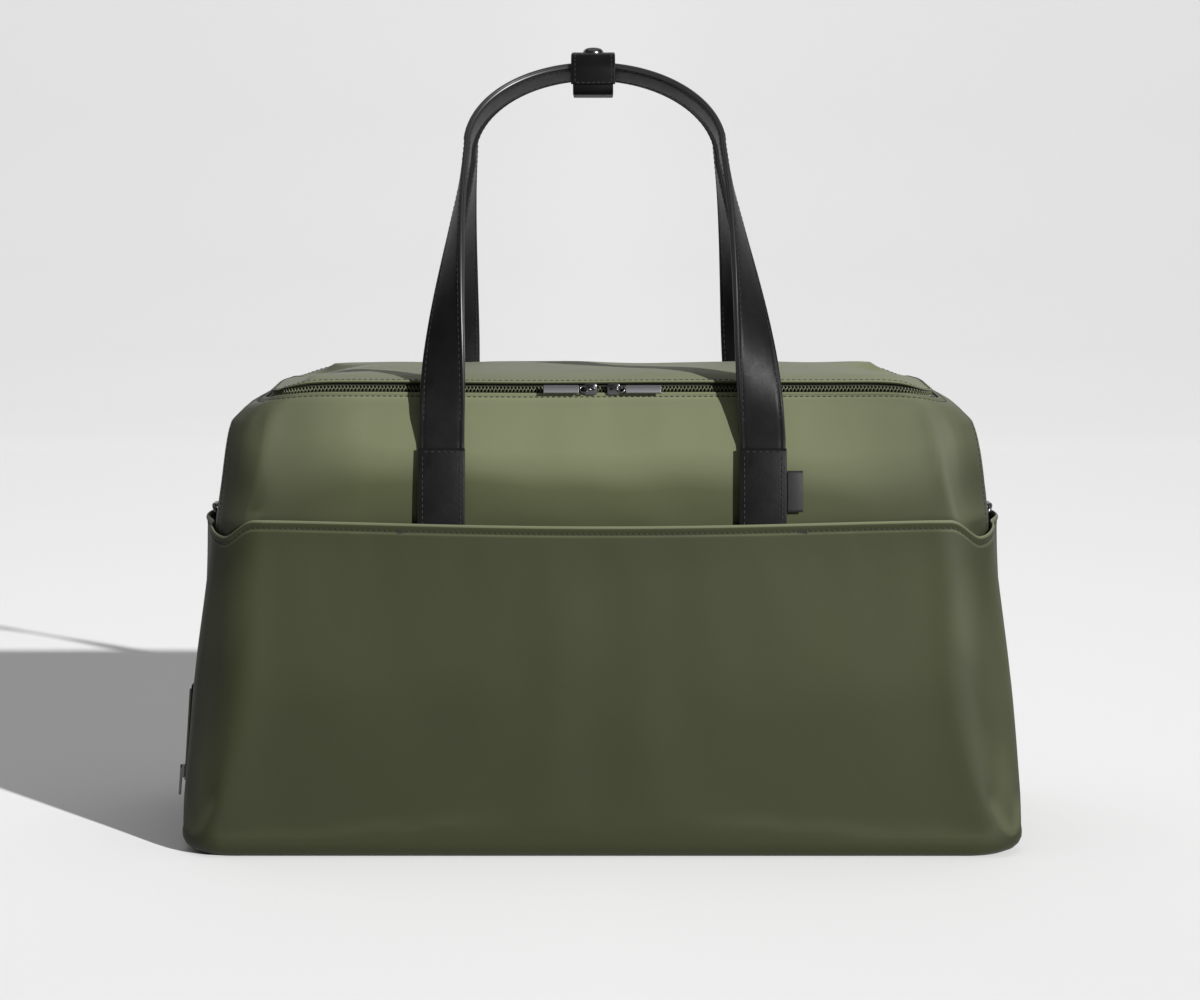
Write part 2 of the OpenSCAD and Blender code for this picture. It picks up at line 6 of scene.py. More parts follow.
import bpy
import numpy as np
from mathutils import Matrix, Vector


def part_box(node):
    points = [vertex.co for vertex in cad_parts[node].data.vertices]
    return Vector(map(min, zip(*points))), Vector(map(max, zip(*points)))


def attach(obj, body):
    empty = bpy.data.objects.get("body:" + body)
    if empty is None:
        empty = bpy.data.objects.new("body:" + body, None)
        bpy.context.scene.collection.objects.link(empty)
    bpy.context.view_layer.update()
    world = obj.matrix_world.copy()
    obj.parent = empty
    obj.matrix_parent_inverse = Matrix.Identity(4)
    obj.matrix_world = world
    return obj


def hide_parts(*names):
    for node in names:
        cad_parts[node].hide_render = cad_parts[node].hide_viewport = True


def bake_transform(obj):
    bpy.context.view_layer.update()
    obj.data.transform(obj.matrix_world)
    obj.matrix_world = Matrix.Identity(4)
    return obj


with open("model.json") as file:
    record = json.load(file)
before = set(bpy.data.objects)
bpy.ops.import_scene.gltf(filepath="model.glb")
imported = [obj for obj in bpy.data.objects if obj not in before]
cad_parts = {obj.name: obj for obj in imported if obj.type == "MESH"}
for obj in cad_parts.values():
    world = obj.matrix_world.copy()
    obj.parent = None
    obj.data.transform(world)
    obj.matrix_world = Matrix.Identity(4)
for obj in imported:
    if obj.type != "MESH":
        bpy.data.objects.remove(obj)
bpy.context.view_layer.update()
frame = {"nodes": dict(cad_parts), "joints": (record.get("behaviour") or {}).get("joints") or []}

MM = 0.001

# Sizes of the bag, read from the frame
base_half_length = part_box("right_side_pocket")[1].x + 0.4 * MM
base_half_depth = -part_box("front_pocket")[0].y
hem_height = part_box("front_pocket_hem")[1].z
side_hem_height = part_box("right_side_hem")[1].z
zip_height = (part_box("zip_teeth_body")[1].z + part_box("zip_teeth_top")[0].z) / 2
rim_half_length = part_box("zip_teeth_top")[1].x
rim_half_depth = -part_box("zip_teeth_top")[0].y

corner_radius = 46 * MM
corner_loss_at_zip, corner_loss_at_base = 11 * MM, 19 * MM
edge_round = 13 * MM
depth_round = 9 * MM
shell_inset = 8 * MM
hem_half_length = base_half_length - 12.5 * MM
hem_half_depth = base_half_depth - 0.5 * MM
end_lean = 12 * MM
front_lean = 14 * MM
end_shoulder = hem_half_length - rim_half_length - shell_inset - end_lean
front_shoulder = hem_half_depth - rim_half_depth - shell_inset - front_lean
shoulder_height = 19 * MM
arc_share = 0.2  # of a side's run of u, for the corner at each of its ends
floor_z = 0.6 * MM


def clamp01(v):
    return np.clip(v, 0.0, 1.0)


def smooth(v):
    t = clamp01(v)
    return t * t * (3 - 2 * t)


def unit(v):
    return v / np.maximum(np.linalg.norm(v, axis=-1, keepdims=True), 1e-12)


def level_unit(v):
    """Unit vectors laid level."""
    flat = v.copy()
    flat[:, 2] = 0
    return unit(flat)


def closed(ring):
    """A ring of points with its first point again at the end."""
    return np.vstack([ring, ring[:1]])


def run_length(points):
    """Length of a polyline up to each of its points."""
    return np.concatenate([[0], np.cumsum(np.linalg.norm(np.diff(points, axis=0), axis=1))])


# ---------------------------------------------------------------- outline of the bag
def side_of(u):
    """Side of the bag that u is on (0 front, 1 right, 2 back, 3 left) and its share along it."""
    turn = np.mod(u + 8, 4)
    side = np.floor(turn + 1e-9)
    return side, turn - side


def from_corner(f):
    """Distance from the nearest corner, near enough for the corner's own arc."""
    return np.minimum(f, 1 - f) / arc_share * corner_radius * math.pi / 4


def rise(z):
    return clamp01((z - hem_height) / (zip_height - hem_height))


def edge_cut(z, r):
    t = clamp01((r - z) / r)
    return r * (1 - np.sqrt(np.maximum(0, 1 - t * t)))


def shoulder_slope(z):
    """Share of the ends' shoulder: a short straight slope up to the zip."""
    return clamp01((z - (zip_height - shoulder_height)) / shoulder_height) ** 1.45


def half_length(z):
    flare = clamp01((z - edge_round) / (hem_height - edge_round))
    return (base_half_length + (hem_half_length - base_half_length) * flare
            - end_lean * rise(z) - end_shoulder * (0.35 * rise(z) ** 7 + 0.65 * shoulder_slope(z))
            - edge_cut(z, edge_round))


def half_depth(z):
    flare = clamp01((z - depth_round) / (hem_height - depth_round))
    return (base_half_depth + (hem_half_depth - base_half_depth) * flare
            - front_lean * rise(z) - front_shoulder * rise(z) ** 3 - edge_cut(z, depth_round))


def corner_at(z):
    """Radius of the wall's corners: tighter at the base and again towards the zip."""
    at_zip, at_base = smooth(rise(z) * 1.4), smooth(1 - z / (120 * MM))
    return corner_radius - corner_loss_at_zip * at_zip - corner_loss_at_base * at_base


def plan(u, z, inset):
    """Points of the wall: u counts the sides (front, right, back, left), z is the height."""
    u, z, inset = np.broadcast_arrays(*[np.asarray(v, float) for v in (u, z, inset)])
    side, f = side_of(u)
    f = np.maximum(0, f)
    long, deep = half_length(z) - inset, half_depth(z) - inset
    r = corner_at(z) - inset
    is_long = (side == 0) | (side == 2)
    reach, other = np.where(is_long, long, deep), np.where(is_long, deep, long)
    low, high = f < arc_share, f > 1 - arc_share
    angle = np.where(low, 1 - f / arc_share, np.where(high, (f - 1 + arc_share) / arc_share, 0)) * math.pi / 4
    straight = (reach - r) * (2 * (f - arc_share) / (1 - 2 * arc_share) - 1)
    bend = r * np.sin(angle)
    along = np.where(low, -(reach - r) - bend, np.where(high, (reach - r) + bend, straight))
    out = np.where(low | high, other - r + r * np.cos(angle), other)
    x = np.select([side == 0, side == 1, side == 2], [along, out, -along], -out)
    y = np.select([side == 0, side == 1, side == 2], [-out, along, out], -along)
    return np.stack([x, y, z], -1)


def waves(p, length, seed, count=7):
    """Smooth wandering value of about -1 to 1 at points p, with swells of about that length."""
    r = np.random.default_rng(seed)
    total = np.zeros(p.shape[:-1])
    for _ in range(count):
        d = r.normal(size=3)
        d /= np.linalg.norm(d)
        total += np.sin(p @ d * (2 * math.pi / length) * r.uniform(0.6, 1.5) + r.uniform(0, 6.28))
    return total / math.sqrt(count) / 1.4


# ---------------------------------------------------------------- materials
def material(name, colour, roughness, metallic=0.0, specular=0.5, sheen=0.0):
    m = bpy.data.materials.new(name)
    m.use_nodes = True
    p = principled(m)
    p.inputs["Base Color"].default_value = (*colour, 1)
    p.inputs["Roughness"].default_value = roughness
    p.inputs["Metallic"].default_value = metallic
    p.inputs["Specular IOR Level"].default_value = specular
    p.inputs["Sheen Weight"].default_value = sheen
    p.inputs["Sheen Roughness"].default_value = 0.4
    return m


def principled(m):
    return m.node_tree.nodes["Principled BSDF"]


def link(m, a, b):
    m.node_tree.links.new(a, b)


def node(m, kind, **sockets):
    n = m.node_tree.nodes.new(kind)
    for key, value in sockets.items():
        n.inputs[key.replace("_", " ")].default_value = value
    return n


def fed(m, kind, source, into="Vector", **sockets):
    """A new node with one input linked."""
    n = node(m, kind, **sockets)
    link(m, source, n.inputs[into])
    return n


def calculate(m, operation, *sources):
    """Output of a maths node."""
    n = node(m, "ShaderNodeMath")
    n.operation = operation
    for k, source in enumerate(sources):
        link(m, source, n.inputs[k])
    return n.outputs[0]


def texture_place(m, kind):
    return node(m, "ShaderNodeTexCoord").outputs[kind]


def geometry_axes(m, kind):
    """X, Y and Z of the surface's Normal or Position."""
    return fed(m, "ShaderNodeSeparateXYZ", node(m, "ShaderNodeNewGeometry").outputs[kind]).outputs


def share_between(m, source, low, high):
    """0 to 1 while the source runs from low to high."""
    return fed(m, "ShaderNodeMapRange", source, "Value", From_Min=low, From_Max=high).outputs["Result"]


def ramp_of(m, value, stops):
    """Colour ramp. stops is a list of (position, colour), or of (position, grey)."""
    ramp = fed(m, "ShaderNodeValToRGB", value, "Fac")
    for k, (position, colour) in enumerate(stops):
        stop = ramp.color_ramp.elements[k] if k < 2 else ramp.color_ramp.elements.new(position)
        stop.position = position
        stop.color = (*(colour if isinstance(colour, tuple) else (colour,) * 3), 1)
    return ramp.outputs["Color"]


def multiply(m, first, *others):
    """Product of colours."""
    for other in others:
        mix = node(m, "ShaderNodeMix", Factor=1.0)
        mix.data_type = "RGBA"
        mix.blend_type = "MULTIPLY"
        link(m, first, mix.inputs[6])
        link(m, other, mix.inputs[7])
        first = mix.outputs[2]
    return first


def noise_at(m, where, scale, detail, roughness, distortion=0.0):
    return fed(m, "ShaderNodeTexNoise", where, Scale=scale, Detail=detail, Roughness=roughness,
               Distortion=distortion).outputs["Fac"]


def vary(m, colour, spread, where, scale):
    """Base colour that drifts a little lighter and darker."""
    darker = tuple(c * (1 - spread) for c in colour)
    lighter = tuple(min(1, c * (1 + spread)) for c in colour)
    stops = [(0.3, darker), (0.7, lighter)]
    link(m, ramp_of(m, noise_at(m, where, scale, 4.0, 0.6), stops), principled(m).inputs["Base Color"])


def add_bump(m, *layers):
    """Chains one bump node per (height, strength, distance)."""
    before = None
    for height, strength, distance in layers:
        bump = fed(m, "ShaderNodeBump", height, "Height", Strength=strength, Distance=distance)
        if before:
            link(m, before.outputs["Normal"], bump.inputs["Normal"])
        before = bump
    link(m, before.outputs["Normal"], principled(m).inputs["Normal"])


def uneven_roughness(m, source, low, high):
    rough = fed(m, "ShaderNodeMapRange", source, "Value", To_Min=low, To_Max=high)
    link(m, rough.outputs["Result"], principled(m).inputs["Roughness"])


def paint_light_and_shade(m, where, stops, along_bag):
    """Painted light and shade in the base colour: painted top light where the cloth faces up, painted shade
    where it faces to the sides, and a painted shade fade along the bag, with a little random drift.
    """
    normal = geometry_axes(m, "Normal")
    # Painted top light: lighter as the normal turns up.
    facing = ramp_of(m, normal["Z"], stops)
    place_x = fed(m, "ShaderNodeSeparateXYZ", texture_place(m, "Object")).outputs["X"]
    # Painted shade that fades along the bag, by position on x.
    ends = ramp_of(m, share_between(m, place_x, -base_half_length, base_half_length), along_bag)
    drift = ramp_of(m, noise_at(m, where, 9.0, 4.0, 0.6), [(0.3, 0.92), (0.7, 1.0)])
    # Painted shade where the cloth faces to the sides.
    sideways = [(0.06, 1.0), (0.35, 0.85), (0.7, 0.68), (1.0, 0.66)]
    side = ramp_of(m, calculate(m, "ABSOLUTE", normal["X"]), sideways)
    link(m, multiply(m, facing, ends, drift, side), principled(m).inputs["Base Color"])


def cloth(name, colour, roughness, period, sheen=0.05, weave=0.5, specular=0.25, soft=0.25,
          plain=False, painted_light_stops=None, along_bag=((0, 0.80), (1, 1.0))):
    """Woven cloth. Its UVs are in metres, so one weave period is the real one."""
    m = material(name, colour, roughness, specular=specular, sheen=sheen)
    where = texture_place(m, "UV")
    # With stops given, the base colour carries painted light and shade; otherwise it only drifts lighter and
    # darker at random.
    if painted_light_stops:
        paint_light_and_shade(m, where, painted_light_stops, along_bag)
    else:
        vary(m, colour, 0.06, where, 9.0)
    threads = []
    for direction in (("X", "Y") if plain else ("DIAGONAL", "X")):
        wave = fed(m, "ShaderNodeTexWave", where, Scale=2 * math.pi / 20 / period, Distortion=0.6, Detail=1.0)
        wave.bands_direction = direction
        threads.append(wave.outputs["Fac"])
    swell = noise_at(m, where, 26.0, 3.0, 0.5)
    add_bump(m, (calculate(m, "MULTIPLY", *threads), weave, 0.15 * MM), (swell, soft, 1.5 * MM))
    return m


def leather(name, colour, roughness, grain, specular):
    m = material(name, colour, roughness, specular=specular)
    where = texture_place(m, "UV")
    vary(m, colour, 0.25, where, 60.0)
    cells = fed(m, "ShaderNodeTexVoronoi", where, Scale=950.0)
    cells.feature = "DISTANCE_TO_EDGE"
    folds = noise_at(m, where, 140.0, 6.0, 0.62, 0.5)
    add_bump(m, (cells.outputs["Distance"], grain, 0.12 * MM), (folds, 0.3, 0.5 * MM))
    uneven_roughness(m, folds, roughness - 0.08, roughness + 0.1)
    return m


def metal(name, colour, roughness):
    m = material(name, colour, roughness, metallic=1.0)
    scratch = noise_at(m, texture_place(m, "Object"), 900.0, 4.0, 0.5)
    uneven_roughness(m, scratch, roughness - 0.06, roughness + 0.08)
    return m


def olive(name, painted_light_stops, **settings):
    """The bag's own nylon, with painted light and shade stops of (how far it faces up, colour)."""
    return cloth(name, painted_light_stops[0][1], 0.64, 0.7 * MM, sheen=0.03, weave=0.10, specular=0.17, soft=0.10,
                 painted_light_stops=painted_light_stops, **settings)


# Painted top light: the lightest stops, for cloth that faces up.
painted_top_light = [(0.8, (0.128, 0.139, 0.082)), (1.0, (0.152, 0.165, 0.100))]
# Nylon whose base colour carries painted light and shade, darkest where it faces forward.
nylon = olive("nylon", [
    (0.0, (0.0190, 0.0220, 0.0073)), (0.09, (0.024, 0.0275, 0.0100)), (0.16, (0.049, 0.054, 0.026)),
    (0.24, (0.073, 0.080, 0.042)), (0.42, (0.088, 0.096, 0.054)), *painted_top_light])
# The shell's nylon: its own painted top light, and painted shade that darkens both ends of the bag.
yoke_nylon = olive("yoke_nylon", [
    (0.0, (0.028, 0.032, 0.012)), (0.09, (0.036, 0.041, 0.016)), (0.16, (0.067, 0.074, 0.037)),
    (0.24, (0.086, 0.095, 0.050)), (0.42, (0.089, 0.097, 0.054)), *painted_top_light],
    along_bag=((0, 0.52), (0.09, 0.50), (0.15, 0.62), (0.22, 0.90), (0.5, 1.0), (0.72, 0.94),
               (0.81, 0.79), (0.92, 0.60), (1, 0.58)))
seam_nylon = cloth("seam_nylon", (0.020, 0.023, 0.010), 0.6, 0.7 * MM, weave=0.25, specular=0.2)
lining = cloth("lining", (0.20, 0.195, 0.17), 0.6, 0.9 * MM, sheen=0.35, weave=0.2, specular=0.5, plain=True)
binding = cloth("binding", (0.022, 0.025, 0.012), 0.6, 1.1 * MM, sheen=0.1, plain=True)
webbing = cloth("webbing", (0.010, 0.010, 0.010), 0.6, 1.4 * MM, sheen=0.1, weave=0.7, specular=0.2,
                plain=True)
base_cloth = cloth("base_cloth", (0.014, 0.015, 0.010), 0.65, 1.2 * MM, weave=0.6, plain=True)
thread = cloth("thread", (0.0075, 0.0090, 0.0040), 0.55, 0.35 * MM)
black_thread = cloth("black_thread", (0.004, 0.004, 0.004), 0.5, 0.35 * MM)
tape_cloth = cloth("tape_cloth", (0.012, 0.0135, 0.007), 0.65, 0.8 * MM, specular=0.2)
coil = material("zip_coil", (0.040, 0.045, 0.020), 0.35, specular=0.45)
strap_leather = leather("strap_leather", (0.0046, 0.0046, 0.0049), 0.42, grain=0.5, specular=0.07)
# A darker, duller copy of the strap leather for the wrap: painted shade.
shaded_wrap_leather = leather("shaded_wrap_leather", (0.0030, 0.0030, 0.0032), 0.48, grain=0.4, specular=0.05)
patch_leather = leather("patch_leather", (0.0042, 0.0042, 0.0044), 0.44, grain=0.6, specular=0.07)
edge_paint = material("edge_paint", (0.010, 0.010, 0.0105), 0.34, specular=0.40)
tag_rubber = leather("tag_rubber", (0.010, 0.010, 0.0105), 0.55, grain=0.15, specular=0.2)
gunmetal = metal("gunmetal", (0.10, 0.10, 0.105), 0.24)
pull_metal = metal("pull_metal", (0.13, 0.13, 0.135), 0.46)
board = material("board_grey", (0.09, 0.085, 0.075), 0.8)


# ---------------------------------------------------------------- meshes
def repaint(name, mat):
    """Keeps a CAD node, in another material of its own slot."""
    o = frame["nodes"][name]
    o.data.materials.clear()
    o.data.materials.append(mat)


def make(name, verts, faces, mats, face_mats=None, uvs=None):
    me = bpy.data.meshes.new(name)
    me.from_pydata([tuple(map(float, v)) for v in verts], [], faces)
    for m in (mats if isinstance(mats, (list, tuple)) else [mats]):
        me.materials.append(m)
    if face_mats is not None:
        me.polygons.foreach_set("material_index", np.asarray(face_mats, np.int32))
    layer = me.uv_layers.new(name="UVMap")
    loop_vertex = np.zeros(len(me.loops), np.int32)
    me.loops.foreach_get("vertex_index", loop_vertex)
    if uvs is None:
        v = np.asarray(verts, float)
        uvs = np.stack([v[:, 0] + v[:, 1], v[:, 2] + 0.3 * v[:, 1]], -1)[loop_vertex]
    elif len(uvs) == len(verts):
        uvs = np.asarray(uvs)[loop_vertex]
    layer.data.foreach_set("uv", np.asarray(uvs, np.float32).ravel())
    me.polygons.foreach_set("use_smooth", np.full(len(me.polygons), True))
    me.update()
    o = bpy.data.objects.new(name, me)
    bpy.context.scene.collection.objects.link(o)
    return o


def grid_faces(rows, cols, wrap=False):
    n = cols if wrap else cols - 1
    return [(r * cols + c, r * cols + (c + 1) % cols, (r + 1) * cols + (c + 1) % cols, (r + 1) * cols + c)
            for r in range(rows - 1) for c in range(n)]


def grid(name, points, mats, wrap=False):
    """Mesh of rows of points. UVs are metres along the middle row and up the middle column."""
    rows, cols = points.shape[:2]
    middle = points[rows // 2]
    along = run_length(closed(middle) if wrap else middle)
    up = run_length(points[:, cols // 2])
    r, c = np.meshgrid(np.arange(rows - 1), np.arange(cols if wrap else cols - 1), indexing="ij")
    corners = [(c, r), (c + 1, r), (c + 1, r + 1), (c, r + 1)]
    uvs = np.stack([np.stack([along[a], up[b]], -1) for a, b in corners], 2).reshape(-1, 2)
    return make(name, points.reshape(-1, 3), grid_faces(rows, cols, wrap), mats, uvs=uvs)


def normals_of(points):
    """Outward unit normals of rings of points that go right, with rows that go up."""
    du = np.roll(points, -1, 1) - np.roll(points, 1, 1)
    return unit(np.cross(du, np.gradient(points, axis=0)))


def columns(corner, long, short):
    """Values of u once round the bag: close at the corners, even along the sides."""
    out = []
    for side in range(4):
        out += list(side + np.linspace(0, arc_share, corner, endpoint=False))
        out += list(side + np.linspace(arc_share, 1 - arc_share, short if side % 2 else long, endpoint=False))
        out += list(side + np.linspace(1 - arc_share, 1, corner, endpoint=False))
    return np.array(out)


def resample(points, step):
    """A polyline with even steps. Returns points, unit tangents and lengths."""
    lengths = run_length(points)
    count = max(2, int(lengths[-1] / step))
    s = (np.arange(count) + 0.5) * lengths[-1] / count
    p, ahead, behind = [np.stack([np.interp(s + shift, lengths, points[:, k]) for k in range(3)], -1)
                        for shift in (0, 0.2 * step, -0.2 * step)]
    return p, unit(ahead - behind), s


def stitches(name, lines, mat, pitch, length, thick, slant=0.0):
    """Stitch beads along lines. Each line is (points, outward normals at those points)."""
    verts, faces, uvs = [], [], []
    sides, rings = 6, [(-0.5, 0.25), (-0.38, 0.85), (0, 1.0), (0.38, 0.85), (0.5, 0.25)]
    cos_slant, sin_slant = math.cos(slant), math.sin(slant)
    for points, outs in lines:
        p, t, s = resample(points, pitch)
        total = run_length(points)
        n = np.stack([np.interp(s, total, outs[:, k]) for k in range(3)], -1)
        n = unit(n - np.sum(n * t, 1, keepdims=True) * t)
        w = np.cross(n, t)
        for k in range(len(p)):
            along = cos_slant * t[k] + sin_slant * w[k]
            across = cos_slant * w[k] - sin_slant * t[k]
            start = len(verts)
            for a, size in rings:
                lift = 0.3 * thick - 2.2 * abs(a) ** 3 * thick
                for j in range(sides):
                    q = 2 * math.pi * j / sides
                    verts.append(p[k] + along * a * length + across * math.cos(q) * thick * size
                                 + n[k] * (math.sin(q) * thick * 0.8 * size + lift))
                    uvs.append((s[k] + a * length, q * thick))
            for r in range(len(rings) - 1):
                for j in range(sides):
                    a0, a1 = start + r * sides + j, start + r * sides + (j + 1) % sides
                    faces.append((a0, a1, a1 + sides, a0 + sides))
            faces.append(tuple(start + j for j in reversed(range(sides))))
            last = start + (len(rings) - 1) * sides
            faces.append(tuple(last + j for j in range(sides)))
    return make(name, verts, faces, mat, uvs=uvs)


def sweep(name, centre, side, out, section, mats, slot, section_mats=None, close=False):
    """A section (across, outward) carried along a path. section is (n, 2), run counter-clockwise."""
    rows, n = len(centre), len(section)
    pts = centre[:, None] + section[None, :, :1] * side[:, None] + section[None, :, 1:] * out[:, None]
    faces, face_mats = [], []
    for r in range(rows if close else rows - 1):
        ahead = (r + 1) % rows
        for c in range(n):
            after = (c + 1) % n
            faces.append((r * n + c, ahead * n + c, ahead * n + after, r * n + after))
            face_mats.append(0 if section_mats is None else section_mats[c])
    along, around = run_length(centre), run_length(closed(section))
    uvs = np.stack([np.repeat(along, n), np.tile(around[:n], rows)], -1)
    if not close:
        faces.append(tuple(range(n)))
        faces.append(tuple(reversed(range((rows - 1) * n, rows * n))))
        face_mats += [0, 0]
    return make(name, pts.reshape(-1, 3), faces, mats, face_mats=face_mats, uvs=uvs)


def frame_along(centre, sign=1.0):
    """Across and outward vectors of a strip that lies across the x axis."""
    across = np.tile([sign, 0, 0], (len(centre), 1))
    return across, np.cross(across, unit(np.gradient(centre, axis=0)))


def rounded(width, height, radius, steps=3):
    """Counter-clockwise rounded rectangle."""
    out = []
    for cx, cy, a0 in ((1, 1, 0), (-1, 1, 90), (-1, -1, 180), (1, -1, 270)):
        for k in range(steps + 1):
            a = math.radians(a0 + 90 * k / steps)
            out.append((cx * (width / 2 - radius) + radius * math.cos(a),
                        cy * (height / 2 - radius) + radius * math.sin(a)))
    return np.array(out)


def painted_edges(section, limit):
    """1 for the faces of a section that lie beyond the limit, which are painted, and 0 for the rest."""
    far = np.abs(section[:, 0]) > limit
    return [int(far[k] and far[(k + 1) % len(far)]) for k in range(len(far))]


def join(name, objects):
    """Joins meshes into the first one."""
    bpy.ops.object.select_all(action="DESELECT")
    for o in objects:
        o.select_set(True)
    bpy.context.view_layer.objects.active = objects[0]
    bpy.ops.object.join()
    objects[0].name = name
    return objects[0]


# ---------------------------------------------------------------- cloth
def drape(rings, normals, pinned_low, pinned_high, frames, bigger, pressure, bending, most, softness):
    """Cloth simulation of rings of points, used as an offset along the normals that stays under most."""
    rows, cols = rings.shape[:2]
    me = bpy.data.meshes.new("cloth_work")
    me.from_pydata([tuple(map(float, v)) for v in rings.reshape(-1, 3)], [], grid_faces(rows, cols, True))
    o = bpy.data.objects.new("cloth_work", me)
    bpy.context.scene.collection.objects.link(o)
    held = [*range(pinned_low * cols), *range((rows - pinned_high) * cols, rows * cols)]
    group = o.vertex_groups.new(name="pin")
    group.add(list(range(pinned_low * cols, (rows - pinned_high) * cols)), 0.0, "REPLACE")
    group.add(held, 1.0, "REPLACE")
    mod = o.modifiers.new("cloth", "CLOTH")
    s = mod.settings
    s.quality = 5
    s.mass = 0.25
    s.tension_stiffness = s.compression_stiffness = 40
    s.shear_stiffness = 25
    s.bending_stiffness = bending
    s.air_damping = 4
    s.vertex_group_mass = "pin"
    s.pin_stiffness = 20
    s.shrink_min = -bigger
    s.use_pressure = True
    s.uniform_pressure_force = pressure
    mod.collision_settings.use_collision = False
    mod.point_cache.frame_start, mod.point_cache.frame_end = 1, frames + 1
    for f in range(1, frames + 1):
        bpy.context.scene.frame_set(f)
    e = o.evaluated_get(bpy.context.evaluated_depsgraph_get())
    co = np.zeros(len(me.vertices) * 3, np.float32)
    e.data.vertices.foreach_get("co", co)
    bpy.context.scene.frame_set(1)
    bpy.data.objects.remove(o)
    offset = np.sum((co.reshape(rings.shape).astype(float) - rings) * normals, -1, keepdims=True)
    return rings + normals * most * np.tanh(offset / softness)


# ---------------------------------------------------------------- outer pockets: one skirt round the bag
def middle_of(f):
    """Share of the way along a side's straight run."""
    return clamp01((f - arc_share) / (1 - 2 * arc_share))


def hem_z(u):
    """Height of the pocket mouths: level on the front and back, dipping at each corner."""
    side, f = side_of(u)
    on_end = (side % 2) == 1
    top = np.where(on_end, side_hem_height + 2.5 * MM, hem_height + 0.5 * MM)
    sag = np.where(on_end, 1.5 * MM, 3.4 * MM) * np.sin(math.pi * middle_of(f)) ** 1.2
    dip = hem_height - 11 * MM
    return dip + (top - dip) * smooth(from_corner(f) / np.where(on_end, 40 * MM, 26 * MM)) - sag


def gape(u, z):
    """How far a side pocket's mouth stands open round its ring."""
    side, f = side_of(u)
    climb = clamp01((z - 0.1) / (side_hem_height - 0.1))
    return np.where(side % 2 == 1, 5 * MM * (np.sin(math.pi * middle_of(f)) * climb) ** 2, 0)


def hug(u, z):
    """The pockets' mouths are held close to the shell at the corners, and closer along the front and back."""
    side, f = side_of(u)
    near_hem = smooth(1 - (hem_z(u) - z) / (115 * MM))
    along_front = np.where(side % 2 == 0, 2.0 * MM, 0.0)
    near_corner = smooth((88 * MM - from_corner(f)) / (50 * MM))
    return near_hem * (along_front + (6.6 * MM - along_front) * near_corner)


def bulge(u, z):
    """Fullness of each side: most at its middle."""
    side, f = side_of(u)
    across = np.sin(math.pi * clamp01(f)) ** 1.5
    up = np.sin(math.pi * clamp01(z / (hem_height + 0.02)) ** 0.8)
    return np.where(side % 2 == 1, 3 * MM, 4.5 * MM) * across * up


def fold_in(points, out, steps):
    """Rows of points with the cloth folded over inside the top one. Steps are (drop, inward) in mm."""
    rows = [points]
    for drop, inward in steps:
        rows.append((points[-1] - out * inward * MM - np.array([0, 0, drop * MM]))[None])
    return np.concatenate(rows)


def bell(v, middle, width):
    return np.exp(-((v - middle) / width) ** 2)


skirt_u = columns(10, 84, 34)
below = np.array([0, 1, 2.2, 3.4, 4.6, 6, 8, 11, 15, 20, 26]) * MM
top_line = hem_z(skirt_u)
rows_z = [top_line - b for b in below]
for share in np.linspace(1, 0, 34)[1:-1]:
    rows_z.append(floor_z + (top_line - below[-1] - floor_z) * share ** 1.25)
rows_z.append(np.full_like(top_line, floor_z))
skirt_z = np.array(rows_z[::-1])
skirt_uu = np.broadcast_to(skirt_u, skirt_z.shape)
skirt = plan(skirt_uu, skirt_z, hug(skirt_uu, skirt_z) - bulge(skirt_uu, skirt_z) - gape(skirt_uu, skirt_z))
skirt_n = normals_of(skirt)
skirt = drape(skirt, skirt_n, 4, 6, frames=26, bigger=0.0015, pressure=0.6, bending=12,
              most=2.6 * MM, softness=8 * MM)
fade = clamp01((top_line - skirt_z) / (25 * MM)) * clamp01(skirt_z / (30 * MM))
swell = 0.7 * MM * waves(skirt, 0.24, 3) + 0.22 * MM * waves(skirt, 0.08, 5)
skirt = skirt + skirt_n * (fade * swell)[..., None]
hem_out = level_unit(skirt_n[-3])

# The cloth is drawn in under the hem's stitches, and rolls out above them
depth_below = (top_line[None, :] - skirt_z).mean(1)
groove = -0.5 * MM * bell(depth_below, 4.2 * MM, 0.9 * MM)
lip = 0.9 * MM * bell(depth_below, 1.6 * MM, 1.9 * MM)
skirt = skirt + skirt_n * (groove + lip)[:, None, None]
folded = fold_in(skirt, hem_out, ((-0.35, 0.35), (-0.3, 1.0), (0.2, 1.5), (2, 1.7), (8, 1.7), (22, 1.7)))
outer_pockets = grid("outer_pockets", folded, nylon, wrap=True)
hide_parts("front_pocket", "right_side_pocket", "back_pocket", "left_side_pocket",
            "front_pocket_hem", "right_side_hem", "back_pocket_hem", "left_side_hem")
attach(outer_pockets, "root")

# Stitch row under the hem's edge
row = int(np.argmin(np.abs(depth_below - 4.2 * MM)))
hem_stitches = stitches("hem_stitches", [(closed(skirt[row]), closed(skirt_n[row]))], thread,
                        pitch=3.5 * MM, length=2.7 * MM, thick=0.5 * MM, slant=math.radians(-24))
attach(hem_stitches, "root")

# Bar tacks that end the pocket mouths
tack_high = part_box("pocket_bar_tacks")[1]
tacks = []
for face in (-1, 1):
    for s in (-1, 1):
        x = s * (tack_high.x - 3.5 * MM)
        wrong_face = np.sign(skirt[row][:, 1]) != face
        k = int(np.argmin(np.abs(skirt[row][:, 0] - x) + 10 * wrong_face))
        for j in range(7):
            at = skirt[row][k] + np.array([(j - 3) * 0.95 * MM, 0, 0.2 * MM])
            line = at + np.outer([-1.6 * MM, 0, 1.6 * MM], [0, 0, 1])
            tacks.append((line, np.tile(skirt_n[row][k], (3, 1))))
bar_tacks = stitches("bar_tacks", tacks, thread, pitch=3.1 * MM, length=3.1 * MM, thick=0.5 * MM)
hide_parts("pocket_bar_tacks")
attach(bar_tacks, "root")

